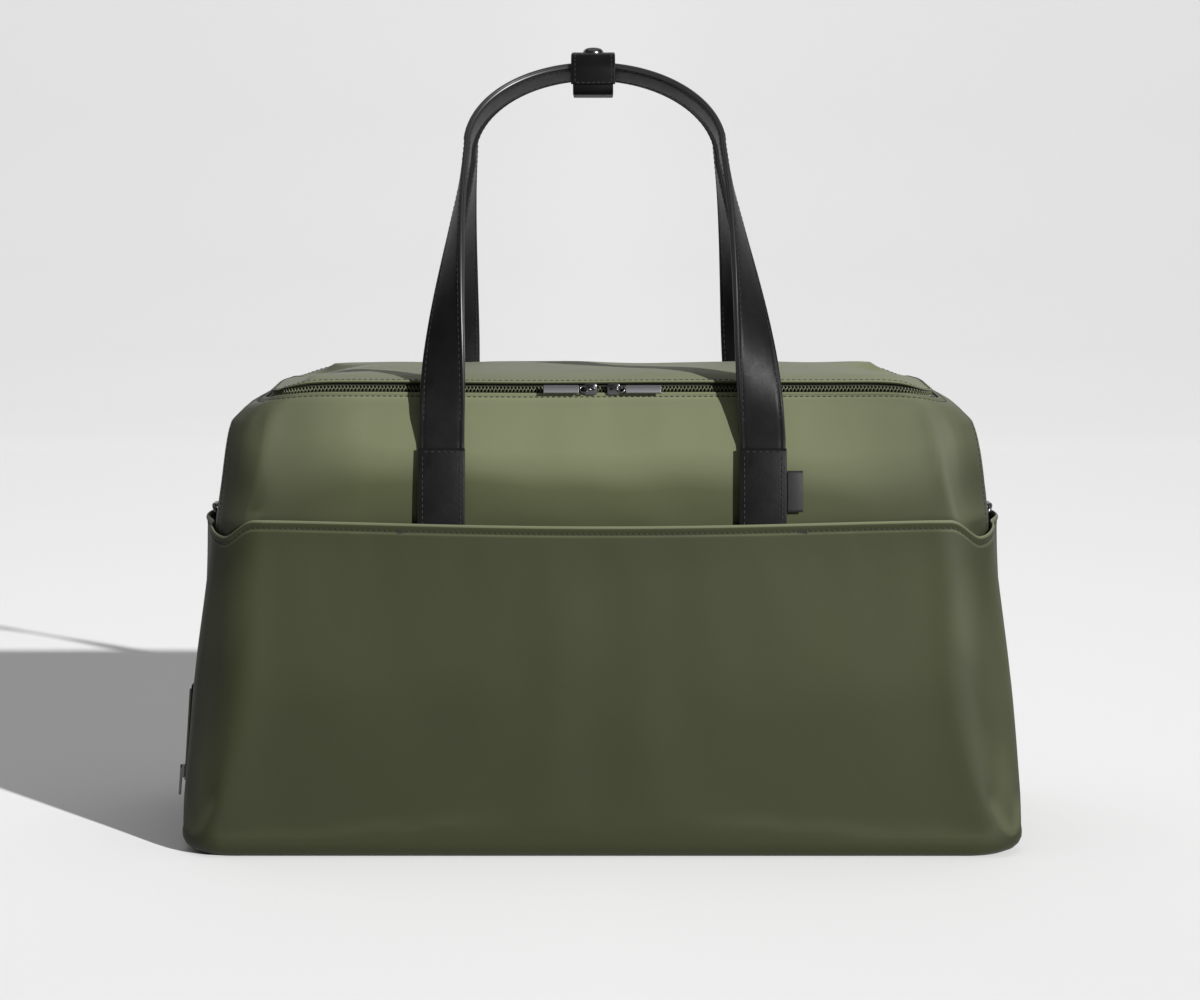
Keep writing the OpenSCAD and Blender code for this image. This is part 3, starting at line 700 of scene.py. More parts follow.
# ---------------------------------------------------------------- main shell
shell_u = columns(12, 96, 40)
shell_top = zip_height - 2.1 * MM
z_rows = np.concatenate([
    np.linspace(20 * MM, 180 * MM, 9), np.linspace(188 * MM, 276 * MM, 26),
    np.linspace(279 * MM, shell_top - 4.6 * MM, 5),
    shell_top - np.array([3.8, 3.1, 2.4, 1.5, 0.7, 0.2]) * MM,
])
shell_uu, shell_zz = np.meshgrid(shell_u, z_rows)


def droop(p):
    """The top of the bag sinks towards its corners, and less in the middle of its ends."""
    across = 1 - 0.5 * clamp01(1 - (p[..., 1] / 0.094) ** 2)
    return -5.4 * MM * clamp01((np.abs(p[..., 0]) - 0.165) / 0.050) ** 2.5 * across


def zip_wander(u):
    """The zip line lifts and sinks a little along its run, and sinks at the ends."""
    x = np.mod(u + 8, 4)
    small = 0.28 * MM * np.sin(x * 9.0 + 0.6) + 0.18 * MM * np.sin(x * 21.0 + 2.0)
    return small + droop(plan(u, zip_height, shell_inset))


def shell_surface(u, z):
    """Points of the shell, with its fullness and the run of the zip."""
    side, f = side_of(u)
    fullness = 4 * MM * np.where(side % 2 == 1, 0.6, 1.0)
    swell = fullness * np.sin(math.pi * clamp01(f)) ** 1.4 * np.sin(math.pi * rise(z)) ** 0.9
    near_top = smooth((z - (zip_height - 30 * MM)) / (28 * MM))
    p = plan(u, z, shell_inset - swell)
    p[..., 2] += zip_wander(u) * near_top
    return p


shell = shell_surface(shell_uu, shell_zz)
shell_n = normals_of(shell)
shell = drape(shell, shell_n, 11, 8, frames=24, bigger=0.0018, pressure=0.4, bending=10,
              most=2.2 * MM, softness=6 * MM)
fade = smooth((shell_zz - 0.2) / 0.02) * clamp01((shell_top - shell_zz) / (22 * MM))
swell = 0.8 * MM * waves(shell, 0.17, 21) + 0.25 * MM * waves(shell, 0.06, 23)
shell = shell + shell_n * (fade * swell)[..., None]
down = (shell_top - shell_zz).mean(1)
groove = -0.45 * MM * bell(down, 2.4 * MM, 0.8 * MM)
lip = 0.35 * MM * bell(down, 0.7 * MM, 0.9 * MM)
shell = shell + shell_n * (groove + lip)[:, None, None]
folded = fold_in(shell, level_unit(shell_n[-2]), ((-0.1, 0.5), (0.2, 1.1), (1.2, 1.5), (9, 1.6)))
main_shell = grid("main_shell", folded, yoke_nylon, wrap=True)
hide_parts("front_panel", "back_panel", "left_end_panel", "right_end_panel")
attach(main_shell, "root")

row = int(np.argmin(np.abs(down - 2.4 * MM)))
zip_seam = stitches("zip_seam_stitches", [(closed(shell[row]), closed(shell_n[row]))], thread,
                    pitch=3.6 * MM, length=2.4 * MM, thick=0.42 * MM)
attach(zip_seam, "root")

# Stitches up the seam at each end
end_lines = []
for u_seam in (3.88, 1.12):
    k = int(np.argmin(np.abs(shell_u - u_seam)))
    end_lines.append((shell[9:36, k], shell_n[9:36, k]))
end_seams = stitches("end_seam_stitches", end_lines, thread, pitch=3.4 * MM, length=2.3 * MM, thick=0.4 * MM)
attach(end_seams, "root")

# ---------------------------------------------------------------- base
floor_rings = []
floor_steps = ((1.0, floor_z), (0.985, 0.1 * MM), (0.94, 0.05 * MM), (0.7, 0.3 * MM), (0.35, 0.8 * MM),
               (0.02, 1.0 * MM))
for q, z in floor_steps:
    ring = skirt[0] * q
    ring[:, 2] = z
    floor_rings.append(ring)
bottom = grid("bottom", np.array(floor_rings), base_cloth, wrap=True)
bottom.data.flip_normals()
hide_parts("bottom_panel")
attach(bottom, "root")

# ---------------------------------------------------------------- top panel
lid_u = columns(12, 96, 40)
edge_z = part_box("top_panel")[0].z
crown_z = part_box("top_panel")[1].z


def tuck_at(u):
    """Share by which the flap's edge is tucked down at the bag's ends."""
    return smooth((np.abs(plan(u, zip_height, shell_inset)[..., 0]) - 0.186) / 0.022)


def to_spine(ring, q):
    """Shrinks a ring of the flap towards the line along its middle."""
    p = ring.copy()
    p[:, 0] *= 1 - (1 - q) * rim_half_depth / rim_half_length
    p[:, 1] *= q
    return p


lid_insets = np.array([0, -0.5, -0.2, 0.6, 1.6, 2.9, 4.6, 7, 10, 14, 19]) * MM
lid_lifts = np.array([0.2, 0.9, 1.6, 2.1, 2.25, 2.2, 2.6, 3.2, 3.8, 4.5, 5.1]) * MM
lid_shares = np.array([0.93, 0.86, 0.78, 0.69, 0.6, 0.5, 0.4, 0.3, 0.2, 0.1, 0.0])
lid_rows = []
tuck = tuck_at(lid_u)
for inset, lift in zip(lid_insets, lid_lifts):
    p = plan(lid_u, zip_height, shell_inset - 0.6 * MM + inset + 0.6 * MM * tuck)
    p[:, 2] = edge_z + lift * (1 - 0.35 * tuck) - 1.6 * MM * tuck + zip_wander(lid_u)
    lid_rows.append(p)
rim = lid_rows[-1].copy()
rim_x, rim_y = np.abs(rim[:, :2]).max(0)


def sink(p, share):
    """How far the middle of the flap lies below its crown, towards the bag's ends."""
    return droop(p) - share * MM * smooth((np.abs(p[:, 0]) - 0.150) / (rim_x - 0.150))


for q in lid_shares:
    p = to_spine(rim, q)
    near_rim = q ** 6
    dome = (1 - (p[:, 0] / rim_x) ** 2) * (1 - (p[:, 1] / rim_y) ** 2)
    middle = (crown_z - edge_z) * 0.3 * dome + sink(p, 3.2)
    flat_z = edge_z + lid_lifts[-1]
    p[:, 2] = flat_z + middle * (1 - near_rim) + (rim[:, 2] - flat_z) * near_rim
    lid_rows.append(p)
lid = np.array(lid_rows)
interior = smooth(np.arange(len(lid)) / 9.0 - 0.4)[:, None]
lid[..., 2] += interior * (0.9 * MM * waves(lid, 0.15, 41) + 0.35 * MM * waves(lid, 0.06, 43))
under_rows = []
for q, drop in ((0.985, 0.0), (0.96, 0.1), (0.93, 0.2)):
    p = to_spine(lid[0], q)
    p[:, 2] -= drop * MM
    under_rows.append(p)
top = grid("top_flap", np.concatenate([np.array(under_rows[::-1]), lid]), nylon, wrap=True)
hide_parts("top_panel")
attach(top, "lid")
row = 4
lid_n = normals_of(lid)
lid_seam = stitches("top_flap_stitches", [(closed(lid[row]), closed(lid_n[row]))], thread,
                    pitch=3.6 * MM, length=2.4 * MM, thick=0.4 * MM)
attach(lid_seam, "lid")

lining_shares = np.array([0.93, 0.9, 0.85, 0.77, 0.68, 0.58, 0.48, 0.38, 0.28, 0.18, 0.09, 0.0])
lid_lining_rows = []
for q in lining_shares:
    p = to_spine(lid[0], q)
    near_rim = q ** 6
    p[:, 2] = edge_z - 0.6 * MM + sink(p, 1.4) * (1 - near_rim) + (lid[0][:, 2] - edge_z) * near_rim
    lid_lining_rows.append(p)
lining_points = np.array(lid_lining_rows)
creases = 0.35 * MM * waves(lining_points, 0.08, 51)
lining_points[..., 2] += creases * smooth((0.93 - lining_shares) / 0.1)[:, None]
lid_lining = grid("top_flap_lining", lining_points, lining, wrap=True)
lid_lining.data.flip_normals()
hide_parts("top_lining")
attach(lid_lining, "lid")

# ---------------------------------------------------------------- main zip
zip_from, zip_to = -0.7, 1.7


def teeth(name, z_shift, phase, lean):
    """A row of coil teeth along the zip line."""
    u = np.linspace(zip_from, zip_to, 900)
    line = plan(u, zip_height, shell_inset)
    line[:, 2] = zip_height + zip_wander(u)
    p, t, s = resample(line, 2.3 * MM)
    shift = t * phase * 2.3 * MM
    out = np.stack([t[:, 1], -t[:, 0], np.zeros(len(t))], -1)
    verts, faces, uvs = [], [], []
    for k in range(len(p)):
        up = np.array([0, 0, 1.0]) + t[k] * lean
        up /= np.linalg.norm(up)
        base = p[k] + shift[k] + np.array([0, 0, z_shift])
        start = len(verts)
        for a, size in ((-1.45, 0.55), (-1.1, 1.0), (1.1, 1.0), (1.45, 0.55)):
            for j in range(6):
                q = math.pi * 2 * (j + 0.5) / 6
                verts.append(base + up * a * MM + t[k] * math.cos(q) * 0.52 * MM * size
                             + out[k] * (math.sin(q) * 0.85 * MM * size - 0.9 * MM))
                uvs.append((s[k], a * MM))
        for r in range(3):
            for j in range(6):
                a0, a1 = start + r * 6 + j, start + r * 6 + (j + 1) % 6
                faces.append((a0, a0 + 6, a1 + 6, a1))
        faces.append(tuple(start + j for j in range(6)))
        faces.append(tuple(start + 18 + j for j in reversed(range(6))))
    o = make(name, verts, faces, coil, uvs=uvs)
    o.data.flip_normals()
    return o


body_teeth = teeth("body_zip_teeth", -0.75 * MM, 0.0, 0.45)
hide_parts("zip_teeth_body")
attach(body_teeth, "root")
flap_teeth = teeth("flap_zip_teeth", 0.75 * MM, 0.5, -0.45)
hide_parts("zip_teeth_top")
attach(flap_teeth, "lid")


def ribbon(name, u_from, u_to, levels, mat, count=400):
    """A band round the rim. levels is a list of (height, inset)."""
    u = np.linspace(u_from, u_to, count)
    rows = []
    for z, inset in levels:
        p = plan(u, min(z, zip_height), inset)
        tucked = 2.6 * MM * tuck_at(u) if z > zip_height + 1.8 * MM else 0
        p[:, 2] = z + zip_wander(u) - tucked
        rows.append(p)
    return grid(name, np.array(rows), mat)


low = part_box("zip_tape_body")[0].z
tape_body = ribbon("body_zip_tape", zip_from, zip_to, [
    (low - 7 * MM, 11.6 * MM), (zip_height - 0.3 * MM, 10.4 * MM), (zip_height - 0.3 * MM, 10.9 * MM),
    (low - 7 * MM, 12.1 * MM)], tape_cloth)
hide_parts("zip_tape_body")
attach(tape_body, "root")
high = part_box("zip_tape_top")[1].z
tape_top = ribbon("flap_zip_tape", zip_from, zip_to, [
    (zip_height + 0.3 * MM, 10.4 * MM), (high, 10.4 * MM), (high, 10.9 * MM),
    (zip_height + 0.3 * MM, 10.9 * MM)], tape_cloth)
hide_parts("zip_tape_top")
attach(tape_top, "lid")

# Cloth hinge behind: joins the shell's top edge to the flap where there is no zip
hinge_rows = []
hinge_u = np.linspace(1.7, 3.3, 260)
hinge_levels = (
    (zip_height - 6 * MM, 9.9 * MM), (zip_height - 2.0 * MM, 9.4 * MM), (zip_height - 0.6 * MM, 9.0 * MM),
    (zip_height + 0.8 * MM, 8.9 * MM), (zip_height + 2.2 * MM, 9.1 * MM), (edge_z + 0.4 * MM, 9.6 * MM))
for z, inset in hinge_levels:
    p = plan(hinge_u, min(z, zip_height), inset)
    tucked = 2.6 * MM * tuck_at(hinge_u) * smooth((z - zip_height) / (2 * MM))
    p[:, 2] = z + zip_wander(hinge_u) - tucked
    hinge_rows.append(p)
hinge = grid("back_hinge", np.array(hinge_rows), seam_nylon)
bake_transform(hinge)

stop_parts = []
for u_stop in (zip_from + 0.006, zip_to - 0.012):
    low, high = zip_height - 2.4 * MM, zip_height + 1.6 * MM
    outer, inner = shell_inset - 0.2 * MM, shell_inset + 2.4 * MM
    loop = [(low, outer), (high, outer), (high, inner), (low, inner), (low, outer)]
    stop_parts.append(ribbon("zip_stop", u_stop, u_stop + 0.008, loop, gunmetal, count=4))
zip_stops = join("zip_stops", stop_parts)
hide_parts("zip_end_stops")
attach(zip_stops, "root")
repaint("base_board", board)

# ---------------------------------------------------------------- inside
inner_u = columns(9, 60, 26)
inner_z = np.concatenate([np.linspace(7 * MM, 200 * MM, 24), np.linspace(206 * MM, zip_height - 7 * MM, 16)])
iu, iz = np.meshgrid(inner_u, inner_z)
inner = plan(iu, iz, 12.8 * MM)
inner[..., 2] += (zip_wander(iu) - 1.5 * MM) * smooth((iz - (zip_height - 34 * MM)) / (26 * MM))
inner_n = normals_of(inner)
folds = 1.2 * MM * (1 + waves(inner, 0.09, 61)) + 0.5 * MM * (1 + waves(inner, 0.035, 63))
fade = smooth((iz - 8 * MM) / (20 * MM)) * smooth((zip_height - 8 * MM - iz) / (14 * MM))
inner = inner - inner_n * (folds * fade)[..., None]
wall_lining = grid("main_lining", inner, lining, wrap=True)
wall_lining.data.flip_normals()
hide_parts("wall_lining", "wall_foam")
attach(wall_lining, "root")
seam_rows = []
binding_levels = ((9, 13.2), (9, 11.7), (3.2, 10.6), (2.8, 11.2), (3.2, 12.2), (9, 13.2))
for down_mm, inset_mm in binding_levels:
    p = plan(inner_u, zip_height - down_mm * MM, inset_mm * MM)
    p[:, 2] += zip_wander(inner_u)
    seam_rows.append(p)
rim_binding = grid("rim_binding", np.array(seam_rows), binding, wrap=True)
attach(rim_binding, "root")
floor_ring = plan(inner_u, 7 * MM, 13.2 * MM)
floor_rows = []
for q in (1.0, 0.97, 0.9, 0.75, 0.55, 0.35, 0.15, 0.0):
    p = to_spine(floor_ring, q)
    p[:, 2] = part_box("base_lining")[1].z + 0.4 * MM
    floor_rows.append(p)
floor_points = np.array(floor_rows)
floor_points[..., 2] += 0.25 * MM * waves(floor_points, 0.07, 71)
base_lining = grid("floor_lining", floor_points, lining, wrap=True)
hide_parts("base_lining")
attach(base_lining, "root")

p_low, p_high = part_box("inner_pocket")
pocket_x = np.linspace(p_low.x, p_high.x, 70)
pz = np.linspace(p_low.z, p_high.z - 1 * MM, 28)
px, pzz = np.meshgrid(pocket_x, pz)
away = np.sin(math.pi * clamp01((px - p_low.x) / (p_high.x - p_low.x))) ** 0.35
py = (p_low.y + 1.2 * MM) + (1 - away) * 5 * MM - 1.0 * MM * smooth((pzz - p_low.z) / 0.08) * away
pts = np.stack([px, py, pzz], -1)
pts[..., 1] += 0.5 * MM * waves(pts, 0.06, 81)
behind = np.array([0, 0.8 * MM, 0])
inner_pocket = grid("inner_slip_pocket", np.concatenate([pts, pts[-1:] + behind, pts[-6:-5] + behind]),
                    lining)
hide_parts("inner_pocket")
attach(inner_pocket, "root")
edge = pts[-1]
bind_steps = ((-0.9, -6), (-1.1, -1), (-0.6, 1.2), (0.6, 1.4), (1.5, 0.4), (1.6, -6))
bind_rows = [edge + np.array([0, dy, dz]) * MM for dy, dz in bind_steps]
inner_binding = grid("inner_pocket_edge", np.array(bind_rows), binding)
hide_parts("inner_pocket_binding")
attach(inner_binding, "root")
pocket_seam = stitches("inner_pocket_stitches", [
    (edge + np.array([0, -1.15 * MM, -4.6 * MM]), np.tile([0, -1.0, 0], (70, 1))),
    (pts[1] + np.array([0, -0.3 * MM, 0]), np.tile([0, -1.0, 0], (70, 1)))],
    thread, pitch=3.4 * MM, length=2.3 * MM, thick=0.4 * MM)
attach(pocket_seam, "root")

# ---------------------------------------------------------------- trolley sleeve on the back
s_low, s_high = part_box("trolley_sleeve")
sx = np.linspace(s_low.x, s_high.x, 72)
sz = np.linspace(s_low.z, s_high.z, 34)
sxx, szz = np.meshgrid(sx[::-1], sz)
cross = clamp01(np.minimum(sxx - s_low.x, s_high.x - sxx) / (14 * MM))
sy = s_low.y + 0.6 * MM + (s_high.y - s_low.y - 0.6 * MM) * smooth(cross) ** 0.6
sleeve = np.stack([sxx, sy, szz], -1)
sleeve[..., 1] += 0.9 * MM * waves(sleeve, 0.07, 91) * smooth(cross)
sleeve_n = np.array([0, 1.0, 0])
inner_side = sleeve - sleeve_n * 1.3 * MM * smooth(cross)[..., None]
full = np.concatenate([inner_side[3:0:-1], sleeve, inner_side[-2:-5:-1]])
trolley = grid("trolley_band", full, nylon)
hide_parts("trolley_sleeve")
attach(trolley, "root")
edges = []
for r, d in ((0, -1), (-1, 1)):
    band = ((0.5, -3.6 * d), (0.9, -1 * d), (0.5, 1.0 * d), (-1.4, 1.1 * d), (-1.9, -3.6 * d))
    rows = np.array([sleeve[r] + np.array([0, dy, dz]) * MM for dy, dz in band])
    edges.append(grid(f"sleeve_edge{r}", rows[::-d], binding))
sleeve_edges = join("trolley_band_edges", edges)
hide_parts("trolley_sleeve_binding")
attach(sleeve_edges, "root")
sleeve_lines = [(sleeve[:, c] + np.array([0, 0.1 * MM, 0]), np.tile([0, 1.0, 0], (34, 1))) for c in (3, -4)]
sleeve_lines.append((sleeve[2][2:-2], np.tile([0, 1.0, 0], (68, 1))))
sleeve_seam = stitches("trolley_band_stitches", sleeve_lines, thread,
                       pitch=3.4 * MM, length=2.3 * MM, thick=0.42 * MM)
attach(sleeve_seam, "root")

# ---------------------------------------------------------------- handles
pivot = {j["child"]: Vector(j["pos_m"]) for j in frame["joints"] if j["name"].endswith("handle_drop")}
pz0 = pivot["front_handle"].z
py0 = pivot["front_handle"].y
strap_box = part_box("front_strap_face")
top_centre = strap_box[1].z - 5.92 * MM
lean_top = (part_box("wrap_band")[0].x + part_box("wrap_band")[1].x) / 2
strap_width = (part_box("front_left_patch")[1].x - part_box("front_left_patch")[0].x) - 1 * MM
strap_x = (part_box("front_left_patch")[1].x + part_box("front_left_patch")[0].x) / -2
strap_thick = 4 * MM
arch_half = 83 * MM
arch_z = top_centre - 53 * MM
start_z = pz0 + 0.3 * MM
top_y = -(strap_width / 2 + 0.8 * MM)
twist_from = pz0 - 3.7 * MM + 22 * MM
top_tilt = math.radians(16)
tail = 6  # points of the strap inside each patch


def path_y(z):
    t = clamp01((z - pz0) / (top_centre - pz0))
    return ((1 - t) ** 3 * py0 + 3 * (1 - t) ** 2 * t * (py0 - 7 * MM)
            + 3 * (1 - t) * t * t * -0.074 + t ** 3 * top_y)


def strap_path():
    """Centre, across and facing vectors of the front strap from the left patch to the right one."""
    left = []
    count_leg, count_arch = 46, 40
    for k in range(count_leg):
        z = start_z + (arch_z - start_z) * k / count_leg
        t = k / count_leg
        x = strap_x + (arch_half - strap_x) * (0.35 * t + 0.65 * t * t)
        left.append((x, z))
    for k in range(count_arch + 1):
        a = math.pi / 2 * k / count_arch
        left.append((arch_half * math.cos(a), arch_z + (top_centre - arch_z) * math.sin(a)))
    xz = np.array([(-x, z) for x, z in left] + left[-2::-1])
    z = xz[:, 1]
    lean = lean_top * (z - start_z) / (top_centre - start_z)
    centre = np.stack([xz[:, 0] + lean, path_y(z), z], -1)
    tangent = unit(np.gradient(centre, axis=0))
    s = clamp01((z - twist_from) / (arch_z - twist_from))
    turn = np.radians(45 * (s + np.sin(s * math.pi / 2)))
    half = len(z) // 2
    flat = np.where(np.arange(len(z)) <= half, 1.0, -1.0)
    raw = np.stack([np.cos(turn) * flat, -np.sin(turn) * math.cos(top_tilt),
                    np.sin(turn) * math.sin(top_tilt)], -1)
    across = unit(raw - np.sum(raw * tangent, 1, keepdims=True) * tangent)
    return centre, across, np.cross(across, tangent)


def with_tails(rows):
    return np.concatenate([np.repeat(rows[:1], tail, 0), rows, np.repeat(rows[-1:], tail, 0)])


centre, across, facing = [with_tails(rows) for rows in strap_path()]
# The strap runs on down into the patch
for k in range(1, tail + 1):
    step_down = np.array([0, 0.12 * MM * k, 1.6 * MM * k])
    centre[tail - k] -= step_down
    centre[k - tail - 1] -= step_down


def strap_section(low, high):
    """Half of the strap's thickness, with a slightly crowned face and rounded edges."""
    w = strap_width / 2
    right = [(w, low + (high - low) * 0.25), (w - 0.15 * MM, high - 0.75 * MM),
             (w - 0.6 * MM, high - 0.22 * MM)]
    face = [(w - 1.4 * MM, high - 0.02 * MM), (w - 2.3 * MM, high - 0.05 * MM),
            (w - 3.0 * MM, high - 0.28 * MM), (w - 3.7 * MM, high - 0.02 * MM),
            (w - 5.2 * MM, high + 0.1 * MM), (w * 0.3, high + 0.22 * MM)]
    half = [(w, low), *right, *face]
    return np.array(half + [(-a, b) for a, b in half[::-1]])


def mirrored(a):
    return a * np.array([1, -1, 1])


for prefix, flip in (("front", False), ("rear", True)):
    c, ac, fc = (mirrored(centre), mirrored(across), mirrored(facing)) if flip else (centre, across, facing)
    body = prefix + "_handle"
    for layer, turn in (("face", 1), ("backing", -1)):
        section = strap_section(0.05 * MM, strap_thick / 2)
        n = len(section)
        mats = [1 if k < 3 or n - 4 <= k < n - 1 else 0 for k in range(n)]
        o = sweep(f"{prefix}_strap_{layer}_leather", c, ac * turn, fc * turn, section,
                  [strap_leather, edge_paint], "black_leather", section_mats=mats)
        if flip:
            o.data.flip_normals()
        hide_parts(f"{prefix}_strap_{layer}")
        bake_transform(o)
    lines = []
    keep = slice(tail + 3, -tail - 3)
    for side in (-1, 1):
        for face in (-1, 1):
            sideways = ac[keep] * side * (strap_width / 2 - 3.0 * MM)
            outward = fc[keep] * face * (strap_thick / 2 - 0.1 * MM)
            lines.append((c[keep] + sideways + outward, fc[keep] * face))
    o = stitches(f"{prefix}_strap_stitches", lines, black_thread,
                 pitch=4.0 * MM, length=2.9 * MM, thick=0.4 * MM)
    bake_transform(o)

# ---------------------------------------------------------------- patches that hold the straps
def on_shell(x, z):
    """Distance of the front shell from the bag's middle, at that x and heights z."""
    u = (x / (half_length(z) - corner_radius) + 1) / 2 * 0.6 + 0.2
    return -shell_surface(u, z)[:, 1]


for name in ("front_left_patch", "front_right_patch", "rear_left_patch", "rear_right_patch"):
    low_c, high_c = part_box(name)
    side = -1 if name.startswith("front") else 1
    xs = (low_c.x + high_c.x) / 2
    width = high_c.x - low_c.x
    zs = np.linspace(low_c.z, high_c.z, 26)
    c = np.stack([np.full(26, xs), side * (on_shell(xs, zs) + 1.9 * MM), zs], -1)
    ac, fc = frame_along(c, -side)
    crown = rounded(width, 3.2 * MM, 0.9 * MM)
    crown[:, 1] += np.where(crown[:, 1] > 0, 0.25 * MM * (1 - (crown[:, 0] / (width / 2)) ** 2), 0)
    mats = painted_edges(crown, width / 2 - 0.8 * MM)
    o = sweep(name + "_leather", c, ac, fc, crown, [patch_leather, edge_paint], "black_leather",
              section_mats=mats)
    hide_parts(name)
    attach(o, "root")
    lines = []
    for s in (-1, 1):
        lines.append((c[1:-2] + ac[1:-2] * s * (width / 2 - 3 * MM) + fc[1:-2] * 1.72 * MM, fc[1:-2]))
    row_x = np.linspace(-width / 2 + 3 * MM, width / 2 - 3 * MM, 8)
    lines.append((c[-2] + np.outer(row_x, ac[-2]) + fc[-2] * 1.78 * MM, np.tile(fc[-2], (8, 1))))
    o = stitches(name + "_stitches", lines, black_thread, pitch=3.6 * MM, length=2.6 * MM, thick=0.42 * MM)
    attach(o, "root")

# Blank tag beside the front right patch
tag_low, tag_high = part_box("side_tag")
zs = np.linspace(tag_low.z, tag_high.z, 14)
xs = (tag_low.x + tag_high.x) / 2
sag = 0.4 * MM * np.sin(np.linspace(0, math.pi, 14))
c = np.stack([np.full(14, xs), -on_shell(xs, zs) - 1.3 * MM - sag, zs], -1)
o = sweep("blank_tag", c, *frame_along(c), rounded(tag_high.x - tag_low.x, 1.5 * MM, 0.6 * MM), tag_rubber,
          "tag_rubber")
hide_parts("side_tag")
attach(o, "root")

# ---------------------------------------------------------------- wrap that holds both straps
w_low, w_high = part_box("wrap_band")
f_low, f_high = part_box("wrap_flap")
wall = f_high.z - f_low.z
radius = 5 * MM
wrap_x = (w_low.x + w_high.x) / 2
wrap_width = w_high.x - w_low.x


def wrap_strip(name, profile, narrow=0.0):
    """A leather strip of the wrap's width that follows a profile of (y, z) points."""
    c = np.array([(wrap_x, y, z) for y, z in profile])
    ac, fc = frame_along(c)
    section = rounded(wrap_width - narrow, wall, 0.7 * MM)
    mats = painted_edges(section, wrap_width / 2 - 0.5 * MM)
    o = sweep(name, c, ac, fc, section, [shaded_wrap_leather, edge_paint], "black_leather", section_mats=mats)
    return o, c, ac, fc


m = wall / 2
seam_z = w_low.z + 7 * MM
bend = 12 * MM
rear_rise = 3 * MM
back_y = w_low.y + radius
bow_radius = radius - m
profile = [(w_low.y + m + 0.9 * MM, seam_z + 4 * MM - k * (seam_z + 4 * MM - w_low.z - radius) / 6)
           for k in range(6)]
profile += [(back_y + 0.9 * MM - bow_radius * math.cos(a), w_low.z + radius - bow_radius * math.sin(a))
            for a in np.linspace(0, math.pi / 2, 8)]
profile += [(back_y + k * (w_high.y - w_low.y - radius) / 10, w_low.z + m) for k in range(1, 11)]
o = wrap_strip("handle_wrap_band", profile, narrow=2.6 * MM)[0]
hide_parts("wrap_band")
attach(o, "front_handle")
top_z = f_low.z + m
bend_y = f_low.y + m + bend
profile = [(f_low.y + m, seam_z + k * (top_z - bend - seam_z) / 8) for k in range(8)]
profile += [(bend_y - bend * math.cos(a), top_z - bend + bend * math.sin(a))
            for a in np.linspace(0, math.pi / 2, 9)]
profile += [(bend_y + k * (f_high.y - f_low.y - m - bend) / 16, top_z + rear_rise * (k / 16) ** 1.3)
            for k in range(1, 17)]
o, c, ac, fc = wrap_strip("handle_wrap_flap", profile)
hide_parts("wrap_flap")
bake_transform(o)
lines = []
lift = m - 0.05 * MM
for s in (-1, 1):
    sideways = ac[1:-1] * s * (wrap_width / 2 - 2.6 * MM)
    lines.append((c[1:-1] + sideways + fc[1:-1] * lift, fc[1:-1]))
row_x = np.linspace(-wrap_width / 2 + 2.6 * MM, wrap_width / 2 - 2.6 * MM, 9)
lines.append((c[1] + np.outer(row_x, ac[1]) + fc[1] * lift, np.tile(fc[1], (9, 1))))
flap_seam = stitches("wrap_flap_stitches", lines, black_thread,
                     pitch=3.4 * MM, length=2.4 * MM, thick=0.38 * MM)
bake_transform(flap_seam)

# ---------------------------------------------------------------- metal

def tube(name, path, radius, close=False):
    """Round wire along a flat path."""
    path = np.asarray(path, float)
    if close:
        t = np.roll(path, -1, 0) - np.roll(path, 1, 0)
    else:
        t = np.gradient(path, axis=0)
    middle = len(path) // 3
    normal = np.cross(path[middle] - path[0], path[-1 if not close else 2 * middle] - path[middle])
    normal /= np.linalg.norm(normal)
    across = np.tile(normal, (len(path), 1))
    a = np.arange(8) * 2 * math.pi / 8
    section = radius * np.stack([np.cos(a), np.sin(a)], -1)
    return sweep(name, path, across, np.cross(across, unit(t)), section, gunmetal, "zip_metal", close=close)


def plate(name, x, z, width, height, y_from, y_to):
    """Upright plate with softened corners, facing along y."""
    section = rounded(width, height, 1.8 * MM, 4)
    n = len(section)
    verts = []
    for y, size in ((y_from, 0.9), (y_from + 0.3 * MM, 1.0), (y_to - 0.3 * MM, 1.0), (y_to, 0.9)):
        verts += [(x + across * size, y, z + up * size) for across, up in section]
    faces = grid_faces(4, n, True)
    faces += [tuple(reversed(range(n))), tuple(range(3 * n, 4 * n))]
    return make(name, verts, faces, gunmetal)


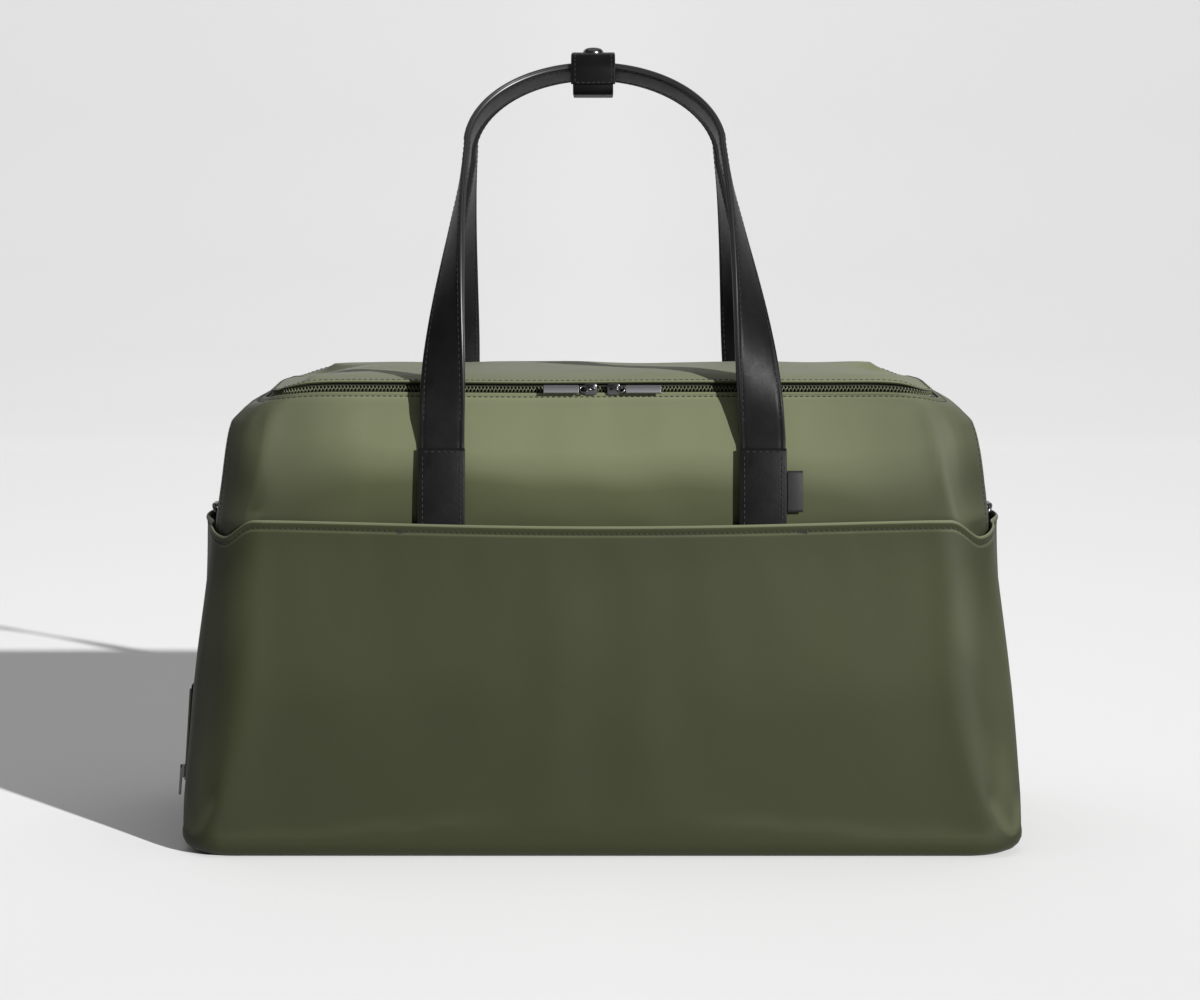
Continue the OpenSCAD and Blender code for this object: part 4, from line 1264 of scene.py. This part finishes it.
joint_at = {j["name"]: j for j in frame["joints"]}
for side, sign in (("left", -1), ("right", 1)):
    low_c, high_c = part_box(side + "_slider")
    pin = Vector(joint_at[side + "_pull_swing"]["pos_m"])
    x_mid = (low_c.x + high_c.x) / 2
    face_y = pin.y + 2.1 * MM
    plate_x, post_x = x_mid - 0.6 * sign * MM, x_mid - 3.4 * sign * MM
    front = (face_y, face_y + 1.5 * MM)
    rear = (high_c.y - 1.5 * MM, high_c.y)
    post = (face_y + 1 * MM, high_c.y - 1 * MM)
    parts = [
        plate(side + "_slider_front", plate_x, pin.z, 8.6 * MM, 7.4 * MM, *front),
        plate(side + "_slider_rear", plate_x, pin.z, 8.6 * MM, 7.4 * MM, *rear),
        plate(side + "_slider_post", post_x, pin.z, 2.4 * MM, 0.7 * MM + 3.0 * MM, *post),
    ]
    bow_y = face_y + 0.8 * MM
    bow = [(0, bow_y), (0, pin.y + 0.3 * MM), (0.5, pin.y - 0.9 * MM), (1.8, pin.y - 1.5 * MM),
           (3.6, pin.y - 1.1 * MM), (5.2, pin.y + 0.4 * MM), (6.0, bow_y)]
    bow = [(pin.x - back * sign * MM, y, pin.z) for back, y in bow]
    parts.append(tube(side + "_slider_bow", bow, 0.72 * MM))
    body = join(side + "_slider_metal", parts)
    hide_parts(side + "_slider")
    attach(body, side + "_slider_body")
    out = Vector(joint_at[side + "_pull_swing"]["axis"]) * sign
    out = np.array(out.normalized())
    up = np.array([0.0, out[2], -out[1]])
    at = np.array(pin)
    ring_path = []
    for k in range(28):
        a = 2 * math.pi * k / 28
        ring_path.append(at + np.array([sign, 0, 0]) * (0.7 * MM + 2.6 * MM * math.cos(a))
                         + up * 2.1 * MM * math.sin(a))
    pull_low, pull_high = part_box(side + "_pull")
    reach = (pull_high.x - pull_low.x) - 2.5 * MM
    xs_bar = np.array([4.0 * MM, 4.3 * MM, reach - 0.3 * MM, reach])
    bar_path = at + np.outer(xs_bar, [sign, 0, 0]) - out * 0.15 * MM
    bar = sweep(side + "_pull_bar", bar_path, np.tile(up * -sign, (4, 1)), np.tile(-out, (4, 1)),
                rounded(5.4 * MM, 1.9 * MM, 0.3 * MM, 2), pull_metal, "zip_metal")
    wire = tube(side + "_pull_ring", ring_path, 0.62 * MM, close=True)
    pull = join(side + "_pull_metal", [bar, wire])
    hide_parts(side + "_pull")
    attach(pull, side + "_pull_body")

for name in ("end_zip_slider", "snap_socket", "snap_stud", "left_d_ring", "right_d_ring", "end_zip_pull"):
    repaint(name, gunmetal)
cap_low, cap_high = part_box("snap_cap")
cap_rings = []
turn = np.linspace(0, 2 * math.pi, 40, endpoint=False)
for a in np.linspace(0, math.pi / 2 - 0.02, 12):
    r_here = (cap_high.x - cap_low.x) / 2 * (math.cos(a) ** 0.7 if a > 0 else 1)
    x = (cap_low.x + cap_high.x) / 2 + r_here * np.cos(turn)
    y = (cap_low.y + cap_high.y) / 2 + r_here * np.sin(turn)
    cap_rings.append(np.stack([x, y, np.full(40, cap_low.z + 1.9 * MM + 3.8 * MM * math.sin(a))], -1))
first = cap_rings[0].copy()
first[:, 2] -= 0.6 * MM
dome = grid("snap_cap_dome", np.array([first] + cap_rings), gunmetal, wrap=True)
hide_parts("snap_cap")
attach(dome, "flap")
for name in ("left_ring_tab", "right_ring_tab"):
    repaint(name, webbing)
repaint("end_zip_tape", tape_cloth)
repaint("end_zip_teeth", coil)

# ---------------------------------------------------------------- stage, light and camera
key_strength = 7.8
key_from = Vector((0.575, -0.755, 0.314)).normalized()
paper = material("paper", (0.80, 0.80, 0.80), 0.9, specular=0.1)
floor_light, tilt_loss = 0.76, 0.30
level = key_strength * key_from.z + floor_light
stops = []
for tip in (0.0, 0.1, 0.2, 0.35, 0.5, 0.7, 0.85, 1.0):
    from_key = -key_from.y * tip + key_from.z * math.sqrt(1 - tip * tip)
    lit = key_strength * from_key + floor_light - tilt_loss * tip
    stops.append((tip, 0.79 * level / lit * (1 - 0.03 * tip)))
# The paper's colour is ramped by tilt to cancel the key light's shading on the cove, and carries painted
# shade: darker towards the back and to the sides.
tilted = calculate(paper, "ABSOLUTE", geometry_axes(paper, "Normal")["Y"])
spot = geometry_axes(paper, "Position")
painted_far_shade = ramp_of(paper, share_between(paper, spot["Y"], 0.3, 3.3), [(0, 1.0), (1, 0.935)])
side_step = share_between(paper, calculate(paper, "ABSOLUTE", spot["X"]), 0.0, 1.4)
painted_side_shade = ramp_of(paper, side_step, [(0, 1.0), (0.22, 0.965), (1.0, 0.930)])
paper_colour = multiply(paper, ramp_of(paper, tilted, stops), painted_far_shade, painted_side_shade)
link(paper, paper_colour, principled(paper).inputs["Base Color"])
wide, near, far, tall, bend = 40.0, -40.0, 3.4, 5.0, 2.2
profile = [(near, 0.0), (far, 0.0)]
profile += [(far + bend * math.sin(a), bend - bend * math.cos(a)) for a in np.linspace(0.05, math.pi / 2, 28)]
profile += [(far + bend, tall)]
verts = [(x, y, z) for y, z in profile for x in (-wide, wide)]
faces = [(2 * k, 2 * k + 1, 2 * k + 3, 2 * k + 2) for k in range(len(profile) - 1)]
floor_mesh = bpy.data.meshes.new("studio_floor")
floor_mesh.from_pydata(verts, [], faces)
floor_mesh.materials.append(paper)
floor_mesh.polygons.foreach_set("use_smooth", [True] * len(faces))
floor = bpy.data.objects.new("studio_floor", floor_mesh)
bpy.context.scene.collection.objects.link(floor)

world = bpy.data.worlds.new("studio")
bpy.context.scene.world = world
world.use_nodes = True
world.node_tree.nodes["Background"].inputs["Color"].default_value = (1, 1, 1, 1)
world.node_tree.nodes["Background"].inputs["Strength"].default_value = 0.16


def lamp(name, kind, location, target, energy, **settings):
    data = bpy.data.lights.new(name, kind)
    data.energy = energy
    for key, value in settings.items():
        setattr(data, key, value)
    o = bpy.data.objects.new(name, data)
    bpy.context.scene.collection.objects.link(o)
    o.location = location
    o.rotation_mode = "QUATERNION"
    o.rotation_quaternion = (Vector(target) - Vector(location)).to_track_quat("-Z", "Y")


lamp("key", "SUN", key_from * 4, (0, 0, 0), key_strength, angle=math.radians(1.2))
lamp("overhead", "AREA", (0.0, 0.0, 2.8), (0, 0.0, 0), 14, shape="RECTANGLE", size=3.0, size_y=2.4)

camera_data = bpy.data.cameras.new("camera")
camera_data.lens = 95.4
camera_data.sensor_width = 36
camera = bpy.data.objects.new("camera", camera_data)
bpy.context.scene.collection.objects.link(camera)
camera.location = (0.0, -2.134, 0.41)
camera.rotation_euler = (math.radians(90 - 5.16), 0, math.radians(0.04))
bpy.context.scene.camera = camera
bpy.context.scene.view_settings.view_transform = "Standard"
